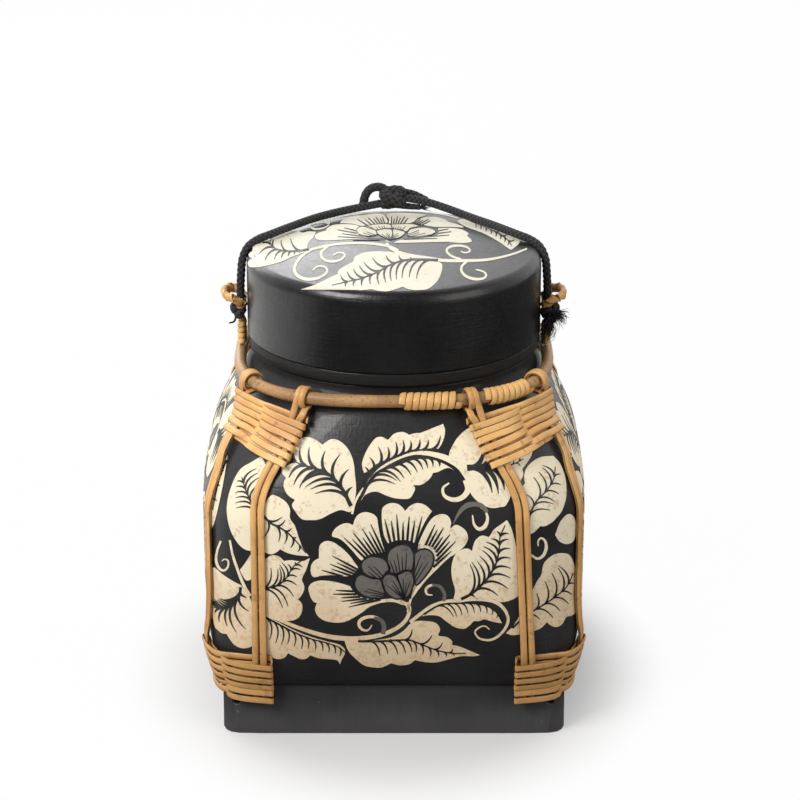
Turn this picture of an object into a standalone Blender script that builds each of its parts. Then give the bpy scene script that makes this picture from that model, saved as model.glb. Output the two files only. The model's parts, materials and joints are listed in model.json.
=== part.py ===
"""Sticky rice basket: a lacquered rounded-square bamboo basket on a square wooden base,
with a round lid, a rattan hoop round the neck, rattan straps lashed over the four
corners, two rattan ears and a black carrying cord that crosses the lid.

Metres, +Z up, front at -Y. The origin is on the floor under the middle of the base.
"""

import math

import bmesh
import bpy
import numpy as np
from mathutils import Vector

# Clearances
SEAT_GAP = 0.0003
CANE_GAP = 0.0005
LID_SLIP = 0.0009

# Basket body: half widths are from the middle to the outside of a face
BELLY_HALF = 0.1010
FOOT_INSET = 0.0090
NECK_RADIUS = 0.0752
BODY_WALL = 0.0034
BELLY_LOW_Z = 0.075
BELLY_HIGH_Z = 0.118
NECK_Z = 0.184
NECK_LIP = 0.0042
FOOT_SQUARENESS = 9.0
BELLY_SQUARENESS = 4.3
FOOT_SWEEP = 2.4
SHOULDER_START = 1.9
SHOULDER_END = 1.25
ROUNDING_RATE = 1.6

# Square wooden base, which the basket's foot overhangs
FOOT_OVERHANG = 0.0022
BASE_HEIGHT = 0.0284
BASE_THICKNESS = 0.010
BASE_CORNER_RADIUS = 0.020
BASE_TAPER = 0.980
HOLE_RADIUS = 0.0028
HOLE_INSET = 0.0133
HOLE_DROP = 0.0089

# Neck fittings
COLLAR_WALL = 0.0020
COLLAR_DEPTH = 0.008
COLLAR_STAND = 0.028
BAND_INSET = 0.0005
BAND_HEIGHT = 0.0068
BAND_EDGE = 0.001

# Lid
LID_WALL = 0.0030
LID_WALL_HEIGHT = 0.0378
LID_LIP = 0.0005
LID_TOP_EDGE = 0.0042
LID_TOP_DOME = 0.0022
LID_TOP_THICKNESS = 0.0040
LID_SEAM = 0.0006
LID_RIM_WALL = 0.0021
LID_RIM_HEIGHT = 0.010

# Rattan hoop round the neck
HOOP_LID_ROOM = 0.0037
HOOP_SQUARENESS = 2.8
HOOP_ROD_RADIUS = 0.0035
HOOP_DROP = 0.0015

# Rattan canes and strips
CANE_WIDTH = 0.0038
CANE_THICKNESS = 0.0020
STRIP_THICKNESS = 0.0008
STRIP_SELF_GAP = 0.00055
STRIP_CROSSING_WIDTH = 0.0010
STRIP_PITCH = 0.0043
LASHING_ROOM = 0.0031
LASHING_WAVE = 2.6
END_STRAP_INSET = 0.0315
SIDE_STRAP_INSET = 0.0290
END_STRAP_HOOP_INSET = 0.0335
SIDE_STRAP_HOOP_INSET = 0.0290
FRONT_RIGHT_SWAY = 0.0070
STRAP_TAIL = 0.0070
STRAP_LEAN_ABOVE_BELLY = 0.010
STRAP_FREE_RUN = 0.0175
FOOT_EASE_START = 0.016
FOOT_EASE = 0.012
LIFT_MARGIN = 0.012
LIFT_EASE = 0.010

# Lashings: drops are from the hoop, depths and rises from the top of the base
UPPER_LASHING_DROP = 0.0290
UPPER_LASHING_TOP_DROP = 0.0110
LOWER_LASHING_DEPTH = 0.0069
LOWER_LASHING_RISE = 0.0186

# Windings on the hoop
HOOP_WRAP_THICKNESS = 0.0008
FRONT_WRAP_START_X = 0.004
FRONT_WRAP_STRAP_ROOM = 0.0090
FRONT_WRAP_TURNS = 8
CORNER_WRAP_STRAP_ROOM = 0.0060
CORNER_WRAP_LENGTH = 0.0205
CORNER_WRAP_TURNS = 7
WRAP_SELF_GAP = 0.0007

# Ears, measured from the hoop
EAR_LEG_RADIUS = 0.0015
EAR_LEG_INSET = 0.0006
EAR_LEG_HALF_GAP = 0.0020
EAR_EYE_RADIUS = 0.0024
EAR_EYE_REACH = 0.0060
EAR_EYE_HALF_LENGTH = 0.0100
EAR_EYE_LIFT = 0.0323
EAR_BINDING_LIFT = 0.0060
EAR_BINDING_HEIGHT = 0.0083
EAR_BINDING_THICKNESS = 0.0007
EAR_BINDING_TURNS = 4

# Carrying cord: knots hang under the ears' eyes, and the middle knot lies on the lid
CORD_DIAMETER = 0.0045
CORD_LID_GAP = 0.00125
LEFT_KNOT_DROP = 0.0073
LEFT_KNOT_SIZE = (0.0030, 0.0034, 0.0036)
RIGHT_KNOT_DROP = 0.0088
RIGHT_KNOT_SIZE = (0.0033, 0.0038, 0.0046)
RIGHT_KNOT_SHIFT = 0.0008
MIDDLE_KNOT_SIZE = (0.0064, 0.0056, 0.0063)
MIDDLE_KNOT_SHIFT = -0.0008
MIDDLE_KNOT_BACK = 0.874
MIDDLE_KNOT_LIFT = 0.0091
KNOT_END_RADIUS = 0.0018

SIDES = 44
POINTS_PER_TURN = 16

# Sizes that follow from the ones above
FOOT_HALF = BELLY_HALF - FOOT_INSET
BASE_HALF = FOOT_HALF - FOOT_OVERHANG
HOLE_X = BASE_HALF - HOLE_INSET
HOLE_Z = BASE_HEIGHT - HOLE_DROP
NECK_TOP_Z = NECK_Z + NECK_LIP
COLLAR_RADIUS = NECK_RADIUS - BODY_WALL - SEAT_GAP
LID_RADIUS = COLLAR_RADIUS + LID_SLIP + LID_RIM_WALL + SEAT_GAP + LID_WALL
BAND_LOW_Z = NECK_TOP_Z + SEAT_GAP
LID_LOW_Z = BAND_LOW_Z + BAND_HEIGHT + SEAT_GAP
LID_CROWN_Z = LID_LOW_Z + LID_WALL_HEIGHT + SEAT_GAP + LID_SEAM + LID_TOP_EDGE
HOOP_HALF = LID_RADIUS + HOOP_LID_ROOM
HOOP_Z = NECK_Z - HOOP_DROP
END_STRAP_HIGH = HOOP_HALF - END_STRAP_HOOP_INSET
SIDE_STRAP_HIGH = HOOP_HALF - SIDE_STRAP_HOOP_INSET
STRAP_BOTTOM_Z = BASE_HEIGHT - STRAP_TAIL
STRAP_LEAN_Z = BELLY_HIGH_Z + STRAP_LEAN_ABOVE_BELLY
STRAP_LEAVES_BODY_Z = HOOP_Z - STRAP_FREE_RUN
UPPER_LASHING_LOW_Z = HOOP_Z - UPPER_LASHING_DROP
UPPER_LASHING_HIGH_Z = HOOP_Z - UPPER_LASHING_TOP_DROP
LOWER_LASHING_LOW_Z = BASE_HEIGHT - LOWER_LASHING_DEPTH
LOWER_LASHING_HIGH_Z = BASE_HEIGHT + LOWER_LASHING_RISE
EAR_LEG_X = HOOP_HALF - EAR_LEG_INSET
EAR_EYE_Z = HOOP_Z + EAR_EYE_LIFT
CORD_X = LID_RADIUS + CORD_LID_GAP + CORD_DIAMETER / 2
MIDDLE_KNOT = (MIDDLE_KNOT_SHIFT, LID_RADIUS * MIDDLE_KNOT_BACK, LID_CROWN_Z + MIDDLE_KNOT_LIFT)

UP = Vector((0, 0, 1))
# A corner's name, its signs in X and Y, and how far its end strap sways towards the middle
CORNERS = (("front_left", -1, -1, 0.0), ("front_right", 1, -1, FRONT_RIGHT_SWAY),
           ("back_left", -1, 1, 0.0), ("back_right", 1, 1, 0.0))


# Materials

def finish(name, colour, roughness, metallic=0.0):
    """A plain Principled finish."""
    material = bpy.data.materials.new(name)
    material.use_nodes = True
    shader = material.node_tree.nodes["Principled BSDF"]
    shader.inputs["Base Color"].default_value = (*colour, 1)
    shader.inputs["Roughness"].default_value = roughness
    shader.inputs["Metallic"].default_value = metallic
    material.diffuse_color = (*colour, 1)
    return material


def clear_scene():
    for thing in list(bpy.data.objects):
        bpy.data.objects.remove(thing, do_unlink=True)


def new_collection(name):
    collection = bpy.data.collections.new(name)
    bpy.context.scene.collection.children.link(collection)
    return collection


clear_scene()
BASKET = new_collection("sticky_rice_basket")
CUTTERS = new_collection("cutters")
BASE_BLACK = finish("base_black", (0.030, 0.030, 0.034), 0.45)
LACQUER = finish("black_lacquer", (0.018, 0.018, 0.020), 0.35)
LID_LACQUER = finish("lid_lacquer", (0.016, 0.016, 0.018), 0.35)
RATTAN = finish("rattan", (0.62, 0.36, 0.14), 0.55)
PALE_RATTAN = finish("pale_rattan", (0.70, 0.45, 0.20), 0.55)
CORD_BLACK = finish("cord_black", (0.012, 0.012, 0.014), 0.85)
RAW_BAMBOO = finish("inner_bamboo", (0.045, 0.032, 0.024), 0.6)


# Small tools

def smooth_step(value):
    """0 below 0, 1 above 1, easing between."""
    t = min(max(value, 0.0), 1.0)
    return t * t * (3 - 2 * t)


def add_object(name, mesh, material):
    thing = bpy.data.objects.new(name, mesh)
    BASKET.objects.link(thing)
    mesh.materials.append(material)
    return thing


def shade(mesh, angle=math.radians(40)):
    mesh.shade_smooth()
    mesh.set_sharp_from_angle(angle=angle)


def loft(name, rings, material):
    """Skin a row of equal rings of points with faces, and close both ends."""
    bm = bmesh.new()
    rows = [[bm.verts.new(point) for point in ring] for ring in rings]
    count = len(rows[0])
    for low, high in zip(rows, rows[1:]):
        for i in range(count):
            j = (i + 1) % count
            bm.faces.new((low[i], low[j], high[j], high[i]))
    bm.faces.new(rows[0])
    bm.faces.new(rows[-1])
    bmesh.ops.recalc_face_normals(bm, faces=bm.faces)
    mesh = bpy.data.meshes.new(name)
    bm.to_mesh(mesh)
    bm.free()
    shade(mesh)
    return add_object(name, mesh, material)


def tube(name, points, radii, material, closed=False, sides=8):
    """A cane or cord: a poly curve with a round bevel and filled ends."""
    curve = bpy.data.curves.new(name, "CURVE")
    curve.dimensions = "3D"
    curve.bevel_depth = 1.0
    curve.bevel_resolution = (sides - 4) // 2
    curve.use_fill_caps = not closed
    spline = curve.splines.new("POLY")
    spline.points.add(len(points) - 1)
    spline.use_cyclic_u = closed
    if not hasattr(radii, "__len__"):
        radii = [radii] * len(points)
    for place, point, radius in zip(spline.points, points, radii):
        place.co = (*point, 1)
        place.radius = radius
    thing = bpy.data.objects.new(name, curve)
    BASKET.objects.link(thing)
    curve.materials.append(material)
    return thing


def turned(name, profile, material):
    """A ring or cup: a closed or axis-to-axis profile, outer side top to bottom, turned round Z."""
    bm = bmesh.new()
    verts = [bm.verts.new((radius, 0, z)) for radius, z in profile]
    for low, high in zip(verts, verts[1:]):
        bm.edges.new((low, high))
    if profile[0][0] > 0:
        bm.edges.new((verts[-1], verts[0]))
    mesh = bpy.data.meshes.new(name)
    bm.to_mesh(mesh)
    bm.free()
    thing = add_object(name, mesh, material)
    screw = thing.modifiers.new("turn", "SCREW")
    screw.steps = SIDES
    screw.render_steps = SIDES
    screw.use_merge_vertices = True
    screw.merge_threshold = 0.00001
    screw.use_smooth_shade = True
    return thing


def smooth_route(points, spacing):
    """Points at about even spacing on a smooth curve through the route's own points."""
    route = [Vector(p) for p in points]
    ends = [2 * route[0] - route[1]] + route + [2 * route[-1] - route[-2]]
    fine = []
    steps = 24
    for i in range(1, len(ends) - 2):
        a, b, c, d = ends[i - 1:i + 3]
        for k in range(steps):
            t = k / steps
            fine.append(0.5 * (2 * b + (c - a) * t + (2 * a - 5 * b + 4 * c - d) * t * t
                               + (3 * b - a - 3 * c + d) * t ** 3))
    fine.append(route[-1])
    lengths = np.cumsum([0.0] + [(q - p).length for p, q in zip(fine, fine[1:])])
    count = max(2, round(lengths[-1] / spacing))
    wanted = np.linspace(0, lengths[-1], count + 1)
    columns = [np.interp(wanted, lengths, [p[axis] for p in fine]) for axis in range(3)]
    return [Vector(p) for p in zip(*columns)], float(lengths[-1])


# Forms that several pieces share

def squircle_radius(half, squareness, angle):
    """Distance from the middle to a rounded square at this angle."""
    c = abs(math.cos(angle))
    s = abs(math.sin(angle))
    return half / (c ** squareness + s ** squareness) ** (1 / squareness)


def body_half(z):
    """Half width of the basket's outside at a height."""
    if z < BELLY_LOW_Z:
        t = max(0.0, (z - BASE_HEIGHT) / (BELLY_LOW_Z - BASE_HEIGHT))
        return BELLY_HALF - (BELLY_HALF - FOOT_HALF) * (1 - t) ** FOOT_SWEEP
    if z < BELLY_HIGH_Z:
        return BELLY_HALF
    t = min(1.0, (z - BELLY_HIGH_Z) / (NECK_Z - BELLY_HIGH_Z))
    return NECK_RADIUS + (BELLY_HALF - NECK_RADIUS) * (1 - t ** SHOULDER_START) ** SHOULDER_END


def body_squareness(z):
    """2 is round; more is squarer."""
    if z < BELLY_LOW_Z:
        t = max(0.0, (z - BASE_HEIGHT) / (BELLY_LOW_Z - BASE_HEIGHT))
        return BELLY_SQUARENESS + (FOOT_SQUARENESS - BELLY_SQUARENESS) * (1 - t) ** 2
    t = min(max((z - BELLY_HIGH_Z) / (NECK_Z - BELLY_HIGH_Z), 0.0), 1.0)
    return 2 + (BELLY_SQUARENESS - 2) * (1 - t ** ROUNDING_RATE)


def body_radius(angle, z):
    return squircle_radius(body_half(z), body_squareness(z), angle)


def base_radius(angle):
    """Distance from the middle to the base's outside, a square with round corners."""
    c = abs(math.cos(angle))
    s = abs(math.sin(angle))
    flat = BASE_HALF - BASE_CORNER_RADIUS
    if BASE_HALF * min(c, s) <= flat * max(c, s):
        return BASE_HALF / max(c, s)
    along = flat * (c + s)
    return along + math.sqrt(along ** 2 - 2 * flat ** 2 + BASE_CORNER_RADIUS ** 2)


def hoop_radius(angle):
    return squircle_radius(HOOP_HALF, HOOP_SQUARENESS, angle)


def skin_radius(angle, z):
    """The outside that the canes lie on: the base, easing into the basket."""
    blend = smooth_step((z - (BASE_HEIGHT - FOOT_EASE_START)) / FOOT_EASE)
    body = body_radius(angle, max(z, BASE_HEIGHT))
    return base_radius(angle) * (1 - blend) + body * blend


def cane_lift(z):
    """Height of a strap's middle off the skin: more under the lashings, which pass behind it."""
    resting = CANE_THICKNESS / 2 + CANE_GAP
    lashed = resting + STRIP_THICKNESS + CANE_GAP
    low = smooth_step((LOWER_LASHING_HIGH_Z + LIFT_MARGIN - z) / LIFT_EASE)
    high = smooth_step((z - UPPER_LASHING_LOW_Z + LIFT_MARGIN) / LIFT_EASE)
    return resting + (lashed - resting) * max(low, high)


def cane_radius(angle, z):
    """Distance from the middle to the straps' middle surface."""
    top = min(z, STRAP_LEAVES_BODY_Z)
    step = 0.0005
    slope = (skin_radius(angle, top + step) - skin_radius(angle, top - step)) / (2 * step)
    radius = skin_radius(angle, top) + cane_lift(top) * math.sqrt(1 + slope * slope)
    if z <= STRAP_LEAVES_BODY_Z:
        return radius
    at_hoop = hoop_radius(angle) + HOOP_ROD_RADIUS + CANE_GAP + CANE_THICKNESS / 2
    left = (HOOP_Z - z) / (HOOP_Z - STRAP_LEAVES_BODY_Z)
    return at_hoop + (radius - at_hoop) * left * abs(left)


def cane_point(angle, z):
    radius = cane_radius(angle, z)
    return Vector((radius * math.cos(angle), radius * math.sin(angle), z))


def cane_frame(angle, z):
    """Sideways, upward and outward directions on the straps' middle surface."""
    step = 0.0006
    side = (cane_point(angle + step * 5, z) - cane_point(angle - step * 5, z)).normalized()
    rise = (cane_point(angle, z + step) - cane_point(angle, z - step)).normalized()
    out = side.cross(rise).normalized()
    return side, rise, out


def strap_offset(face, z, sway):
    """How far a strap stands from the basket's middle plane: it leans in over the shoulder.
    An end strap that sways leans in evenly as well, from its lower lashing to the hoop."""
    lean = smooth_step((z - STRAP_LEAN_Z) / (HOOP_Z - STRAP_LEAN_Z))
    if face == "side":
        low = BELLY_HALF - SIDE_STRAP_INSET
        return low + (SIDE_STRAP_HIGH - low) * lean
    low = BELLY_HALF - END_STRAP_INSET
    climbed = max(0.0, z - LOWER_LASHING_HIGH_Z) / (HOOP_Z - LOWER_LASHING_HIGH_Z)
    return low + (END_STRAP_HIGH - low) * lean - sway * climbed


def strap_angle(face, z, sway, shift=0.0):
    """Angle of a strap's middle, or of one of its canes beside it, at a height."""
    wanted = strap_offset(face, z, sway)
    low = math.pi / 4
    high = math.pi / 2 if face == "end" else 0.0
    for _ in range(30):
        middle = (low + high) / 2
        radius = cane_radius(middle, z)
        reach = radius * (math.cos(middle) if face == "end" else math.sin(middle))
        if reach > wanted:
            low = middle
        else:
            high = middle
    angle = (low + high) / 2
    step = 0.01
    speed = (cane_point(angle + step, z) - cane_point(angle - step, z)).length / (2 * step)
    return angle + shift / speed


def placed(point, sx, sy):
    """A point worked out in the corner +X +Y, put in the corner with these signs."""
    return Vector((point.x * sx, point.y * sy, point.z))


def strip_sections(points, sideways, widths, thickness):
    """Cross-sections of a flat strip, whose width runs along the sideways directions."""
    sections = []
    for i, point in enumerate(points):
        before = points[max(i - 1, 0)]
        after = points[min(i + 1, len(points) - 1)]
        along = (after - before).normalized()
        across = sideways[i] - along * sideways[i].dot(along)
        across.normalize()
        out = across.cross(along)
        w = widths[i] / 2 if hasattr(widths, "__len__") else widths / 2
        t = thickness / 2
        shape = ((-w, -t), (w, -t), (w, t), (-w, t))
        sections.append([point + across * a + out * b for a, b in shape])
    return sections


def least_self_gap(sections, skip):
    """Shortest distance between parts of a winding that lie at least skip sections apart."""
    cloud = []
    for section in sections:
        corners = np.array([tuple(p) for p in section])
        middles = (corners + np.roll(corners, 1, axis=0)) / 2
        cloud.append(np.vstack([corners, middles]))
    cloud = np.array(cloud)
    smallest = math.inf
    for i in range(len(cloud) - skip):
        others = cloud[i + skip:].reshape(-1, 3)
        distances = np.linalg.norm(others[None, :, :] - cloud[i][:, None, :], axis=2)
        smallest = min(smallest, float(distances.min()))
    return smallest


# Base

def board_outline(half, corner, ends):
    """Outline of the front board: straight front, round outer corners, square-cut ends."""
    inner_half = half - BASE_THICKNESS
    inner_corner = corner - BASE_THICKNESS
    points = []
    arc = 5
    for side in (-1, 1):
        for k in range(arc + 1):
            turn = math.pi / 2 * k / arc
            turn = turn if side < 0 else math.pi / 2 - turn
            x = side * (half - corner + corner * math.cos(turn))
            y = -(half - corner + corner * math.sin(turn))
            points.append((x, y))
    for side in (1, -1):
        for k in range(arc + 1):
            turn = math.pi / 2 * k / arc
            turn = turn if side > 0 else math.pi / 2 - turn
            x = side * (inner_half - inner_corner + inner_corner * math.cos(turn))
            y = -(inner_half - inner_corner + inner_corner * math.sin(turn))
            points.append((x, y))
    return [(x, y) if abs(y) > ends else (x, -ends) for x, y in points]


def prism(name, outline, height, material):
    """A flat outline as a filled 2D curve, raised from the floor to a height."""
    curve = bpy.data.curves.new(name, "CURVE")
    curve.dimensions = "2D"
    curve.fill_mode = "BOTH"
    curve.extrude = height / 2
    spline = curve.splines.new("POLY")
    spline.points.add(len(outline) - 1)
    for place, (x, y) in zip(spline.points, outline):
        place.co = (x, y, 0, 1)
    spline.use_cyclic_u = True
    guide = bpy.data.objects.new(name + "_outline", curve)
    BASKET.objects.link(guide)
    graph = bpy.context.evaluated_depsgraph_get()
    mesh = bpy.data.meshes.new_from_object(guide.evaluated_get(graph))
    bpy.data.objects.remove(guide, do_unlink=True)
    bm = bmesh.new()
    bm.from_mesh(mesh)
    bmesh.ops.remove_doubles(bm, verts=bm.verts, dist=0.000001)
    bmesh.ops.translate(bm, verts=bm.verts, vec=(0, 0, height / 2))
    for vert in bm.verts:
        if vert.co.z < height / 2:
            vert.co.x *= BASE_TAPER
            vert.co.y *= BASE_TAPER
    bmesh.ops.recalc_face_normals(bm, faces=bm.faces)
    bm.to_mesh(mesh)
    bm.free()
    mesh.name = name
    mesh.materials.clear()
    shade(mesh)
    return add_object(name, mesh, material)


def drill(board, x, y):
    """A hole through a board for the end of a lashing."""
    bpy.ops.mesh.primitive_cylinder_add(vertices=12, radius=HOLE_RADIUS, depth=BASE_THICKNESS * 4,
                                        location=(x, y, HOLE_Z), rotation=(math.pi / 2, 0, 0))
    cutter = bpy.context.object
    cutter.name = "hole_cutter"
    for home in list(cutter.users_collection):
        home.objects.unlink(cutter)
    CUTTERS.objects.link(cutter)
    cutter.hide_render = True
    cutter.display_type = "WIRE"
    cut = board.modifiers.new("hole", "BOOLEAN")
    cut.operation = "DIFFERENCE"
    cut.solver = "EXACT"
    cut.object = cutter


def base_boards():
    """Front and back boards turn the corners; the side boards close the square between them."""
    joint_y = BASE_HALF - BASE_CORNER_RADIUS
    front = board_outline(BASE_HALF, BASE_CORNER_RADIUS, joint_y)
    for name, sign in (("base_front_board", 1), ("base_back_board", -1)):
        outline = [(x * sign, y * sign) for x, y in front]
        board = prism(name, outline, BASE_HEIGHT, BASE_BLACK)
        for side in (-1, 1):
            drill(board, side * HOLE_X, -sign * (BASE_HALF - BASE_THICKNESS / 2))
    outer = BASE_HALF
    inner = BASE_HALF - BASE_THICKNESS
    end = joint_y - SEAT_GAP
    for name, sign in (("base_left_board", -1), ("base_right_board", 1)):
        outline = [(sign * inner, -end), (sign * outer, -end), (sign * outer, end), (sign * inner, end)]
        prism(name, outline, BASE_HEIGHT, BASE_BLACK)


# Basket body, collar and band

def basket_body():
    """An open loft of rounded squares, thickened inwards, with a flat floor."""
    heights = [BASE_HEIGHT + SEAT_GAP]
    rise = BELLY_LOW_Z - BASE_HEIGHT
    heights += [BASE_HEIGHT + rise * share for share in (0.097, 0.249, 0.464, 0.721, 1.0)]
    heights += [BELLY_HIGH_Z]
    heights += [BELLY_HIGH_Z + (NECK_Z - BELLY_HIGH_Z) * k / 7 for k in range(1, 8)]
    heights += [NECK_TOP_Z]
    bm = bmesh.new()
    rows = []
    for z in heights:
        ring = []
        for k in range(SIDES):
            angle = 2 * math.pi * (k + 0.5) / SIDES
            radius = body_radius(angle, z)
            ring.append(bm.verts.new((radius * math.cos(angle), radius * math.sin(angle), z)))
        rows.append(ring)
    for low, high in zip(rows, rows[1:]):
        for i in range(SIDES):
            j = (i + 1) % SIDES
            bm.faces.new((low[i], low[j], high[j], high[i]))
    bm.faces.new(list(reversed(rows[0])))
    mesh = bpy.data.meshes.new("basket_body")
    bm.to_mesh(mesh)
    bm.free()
    shade(mesh, math.radians(50))
    body = add_object("basket_body", mesh, LACQUER)
    wall = body.modifiers.new("wall", "SOLIDIFY")
    wall.thickness = BODY_WALL
    wall.offset = -1
    wall.use_even_offset = True
    return body


def ring_profile(inner, outer, low, high, ease):
    """Section of a ring with its outer edges eased, outer side top to bottom first."""
    return [(outer - ease, high), (outer, high - ease), (outer, low + ease), (outer - ease, low),
            (inner, low), (inner, high)]


def plain_ring_profile(inner, outer, low, high):
    return [(outer, high), (outer, low), (inner, low), (inner, high)]


def neck_fittings():
    collar = plain_ring_profile(COLLAR_RADIUS - COLLAR_WALL, COLLAR_RADIUS,
                                NECK_Z - COLLAR_DEPTH, NECK_Z + COLLAR_STAND)
    turned("neck_collar", collar, RAW_BAMBOO)
    band = ring_profile(COLLAR_RADIUS + SEAT_GAP, LID_RADIUS - BAND_INSET,
                        BAND_LOW_Z, BAND_LOW_Z + BAND_HEIGHT, BAND_EDGE)
    turned("neck_band", band, LACQUER)


# Lid

def lid_surface_z(radius):
    """Height of the lid's painted top at a distance from the middle."""
    flat = LID_RADIUS - LID_TOP_EDGE
    if radius < flat:
        return LID_CROWN_Z + LID_TOP_DOME * (1 - (radius / flat) ** 2)
    return LID_CROWN_Z - LID_TOP_EDGE + math.sqrt(max(0.0, LID_TOP_EDGE ** 2 - (radius - flat) ** 2))


def lid_wall():
    inner = LID_RADIUS - LID_WALL
    profile = ring_profile(inner, LID_RADIUS, LID_LOW_Z, LID_LOW_Z + LID_WALL_HEIGHT, LID_LIP)
    turned("lid_wall", profile, LID_LACQUER)


def lid_top():
    """A slightly domed round with a rounded edge, hollowed a little underneath."""
    under = LID_LOW_Z + LID_WALL_HEIGHT + SEAT_GAP
    flat = LID_RADIUS - LID_TOP_EDGE
    profile = [(flat * k / 4, lid_surface_z(flat * k / 4)) for k in range(5)]
    for k in range(1, 4):
        turn = math.pi / 2 * k / 3
        profile.append((flat + LID_TOP_EDGE * math.sin(turn),
                        LID_CROWN_Z - LID_TOP_EDGE + LID_TOP_EDGE * math.cos(turn)))
    profile.append((LID_RADIUS, under))
    profile.append((LID_RADIUS - LID_WALL - LID_TOP_THICKNESS, under))
    profile.append((0, lid_surface_z(0) - LID_TOP_THICKNESS))
    turned("lid_top", profile, LID_LACQUER)


def lid_slip_ring():
    """The ring inside the lid that centres it on the collar."""
    outer = LID_RADIUS - LID_WALL - SEAT_GAP
    low = LID_LOW_Z + LID_SEAM
    profile = plain_ring_profile(outer - LID_RIM_WALL, outer, low, LID_LOW_Z + LID_RIM_HEIGHT)
    turned("lid_slip_ring", profile, RAW_BAMBOO)


# Hoop and its wrapping

def hoop_point(angle):
    radius = hoop_radius(angle)
    return Vector((radius * math.cos(angle), radius * math.sin(angle), HOOP_Z))


def hoop_frame(angle):
    """Tangent and outward directions of the hoop."""
    step = 0.002
    along = (hoop_point(angle + step) - hoop_point(angle - step)).normalized()
    return along, along.cross(UP).normalized()


def neck_hoop():
    count = 56
    points = [hoop_point(2 * math.pi * k / count) for k in range(count)]
    return tube("neck_hoop", points, HOOP_ROD_RADIUS, PALE_RATTAN, closed=True)


def hoop_angle_at_x(x, face_sign):
    """Angle of the hoop's front or back point with this x."""
    low = math.pi / 2
    high = 0.0
    for _ in range(40):
        middle = (low + high) / 2
        if hoop_point(middle).x < x:
            low = middle
        else:
            high = middle
    return face_sign * (low + high) / 2


def hoop_winding(name, start_x, end_x, turns):
    """One flat strip wound round the hoop, its turns side by side."""
    start = hoop_angle_at_x(start_x, -1)
    end = hoop_angle_at_x(end_x, -1)
    length = sum((hoop_point(start + (end - start) * (k + 1) / 20)
                  - hoop_point(start + (end - start) * k / 20)).length for k in range(20))
    width = length / turns - WRAP_SELF_GAP
    radius = HOOP_ROD_RADIUS + CANE_GAP + HOOP_WRAP_THICKNESS / 2
    per_turn = 12
    count = turns * per_turn
    points = []
    sideways = []
    for k in range(count + 1):
        angle = start + (end - start) * k / count
        along, out = hoop_frame(angle)
        turn = 2 * math.pi * k / per_turn
        points.append(hoop_point(angle) + out * radius * math.cos(turn) + UP * radius * math.sin(turn))
        sideways.append(along)
    sections = strip_sections(points, sideways, width, HOOP_WRAP_THICKNESS)
    print(f"{name}: least gap to itself {least_self_gap(sections, per_turn - 1) * 1000:.2f} mm")
    return loft(name, sections, RATTAN)


# Straps: each is one long cane that loops over the hoop and comes back down beside itself

def strap_heights():
    """Heights of a strap's cross-sections: closer together where it bends."""
    heights = [STRAP_BOTTOM_Z]
    heights += [BASE_HEIGHT + LOWER_LASHING_RISE * share
                for share in (-0.24, 0.0, 0.22, 0.49, 0.84, 1.27, 1.86)]
    heights += [BELLY_LOW_Z, BELLY_HIGH_Z]
    shoulder = STRAP_LEAVES_BODY_Z - BELLY_HIGH_Z
    heights += [BELLY_HIGH_Z + shoulder * share for share in (0.19, 0.38, 0.57, 0.745, 0.894, 1.0)]
    free = HOOP_Z - STRAP_LEAVES_BODY_Z
    heights += [STRAP_LEAVES_BODY_Z + free * share for share in (0.229, 0.429)]
    return heights


def strap(name, face, sx, sy, sway):
    """Up in front of the hoop, over it, down behind, out below it, and down to the base."""
    shift = (CANE_WIDTH + CANE_GAP) / 2
    heights = strap_heights()
    points = []
    sideways = []
    for z in heights + [STRAP_LEAVES_BODY_Z + (HOOP_Z - STRAP_LEAVES_BODY_Z) * 0.74]:
        angle = strap_angle(face, z, sway, -shift)
        points.append(cane_point(angle, z))
        sideways.append(cane_frame(angle, z)[0])
    first = strap_angle(face, HOOP_Z, sway, -shift)
    last = strap_angle(face, HOOP_Z, sway, shift)
    ring = HOOP_ROD_RADIUS + CANE_GAP + CANE_THICKNESS / 2
    turns = [math.radians(turn) for turn in range(0, 271, 30)]
    loop = [(ring * math.cos(turn), ring * math.sin(turn)) for turn in turns]
    loop += [(0.68 * ring, -1.06 * ring), (1.18 * ring, -1.48 * ring)]
    for k, (push, lift) in enumerate(loop):
        if k < len(turns):
            angle = first + (last - first) * k / (len(turns) - 1)
        else:
            angle = strap_angle(face, HOOP_Z + lift, sway, shift)
        along, out = hoop_frame(angle)
        points.append(hoop_point(angle) + out * push + UP * lift)
        sideways.append(along)
    for z in reversed(heights):
        angle = strap_angle(face, z, sway, shift)
        points.append(cane_point(angle, z))
        sideways.append(cane_frame(angle, z)[0])
    points = [placed(p, sx, sy) for p in points]
    sideways = [placed(s, sx, sy) for s in sideways]
    sections = strip_sections(points, sideways, CANE_WIDTH, CANE_THICKNESS)
    return loft(name, sections, PALE_RATTAN)


# Figure-of-eight lashings between the two straps of a corner

def lashing_point(z, place, lift, sway):
    """A point between and round the two straps: place runs from -1 to 1 across both."""
    end_angle = strap_angle("end", z, sway)
    side_angle = strap_angle("side", z, sway)
    a = cane_point(end_angle, z)
    b = cane_point(side_angle, z)
    edge = CANE_WIDTH + CANE_GAP / 2 + LASHING_ROOM
    span = (b - a).length
    along = place * (span / 2 + edge)
    if abs(along) <= span / 2:
        share = along / span + 0.5
        angle = end_angle + (side_angle - end_angle) * share
        side, rise, out = cane_frame(angle, z)
        return cane_point(angle, z) + out * lift, rise
    if along < 0:
        side, rise, out = cane_frame(end_angle, z)
        return a + side * (-along - span / 2) + out * lift, rise
    side, rise, out = cane_frame(side_angle, z)
    return b - side * (along - span / 2) + out * lift, rise


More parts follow.
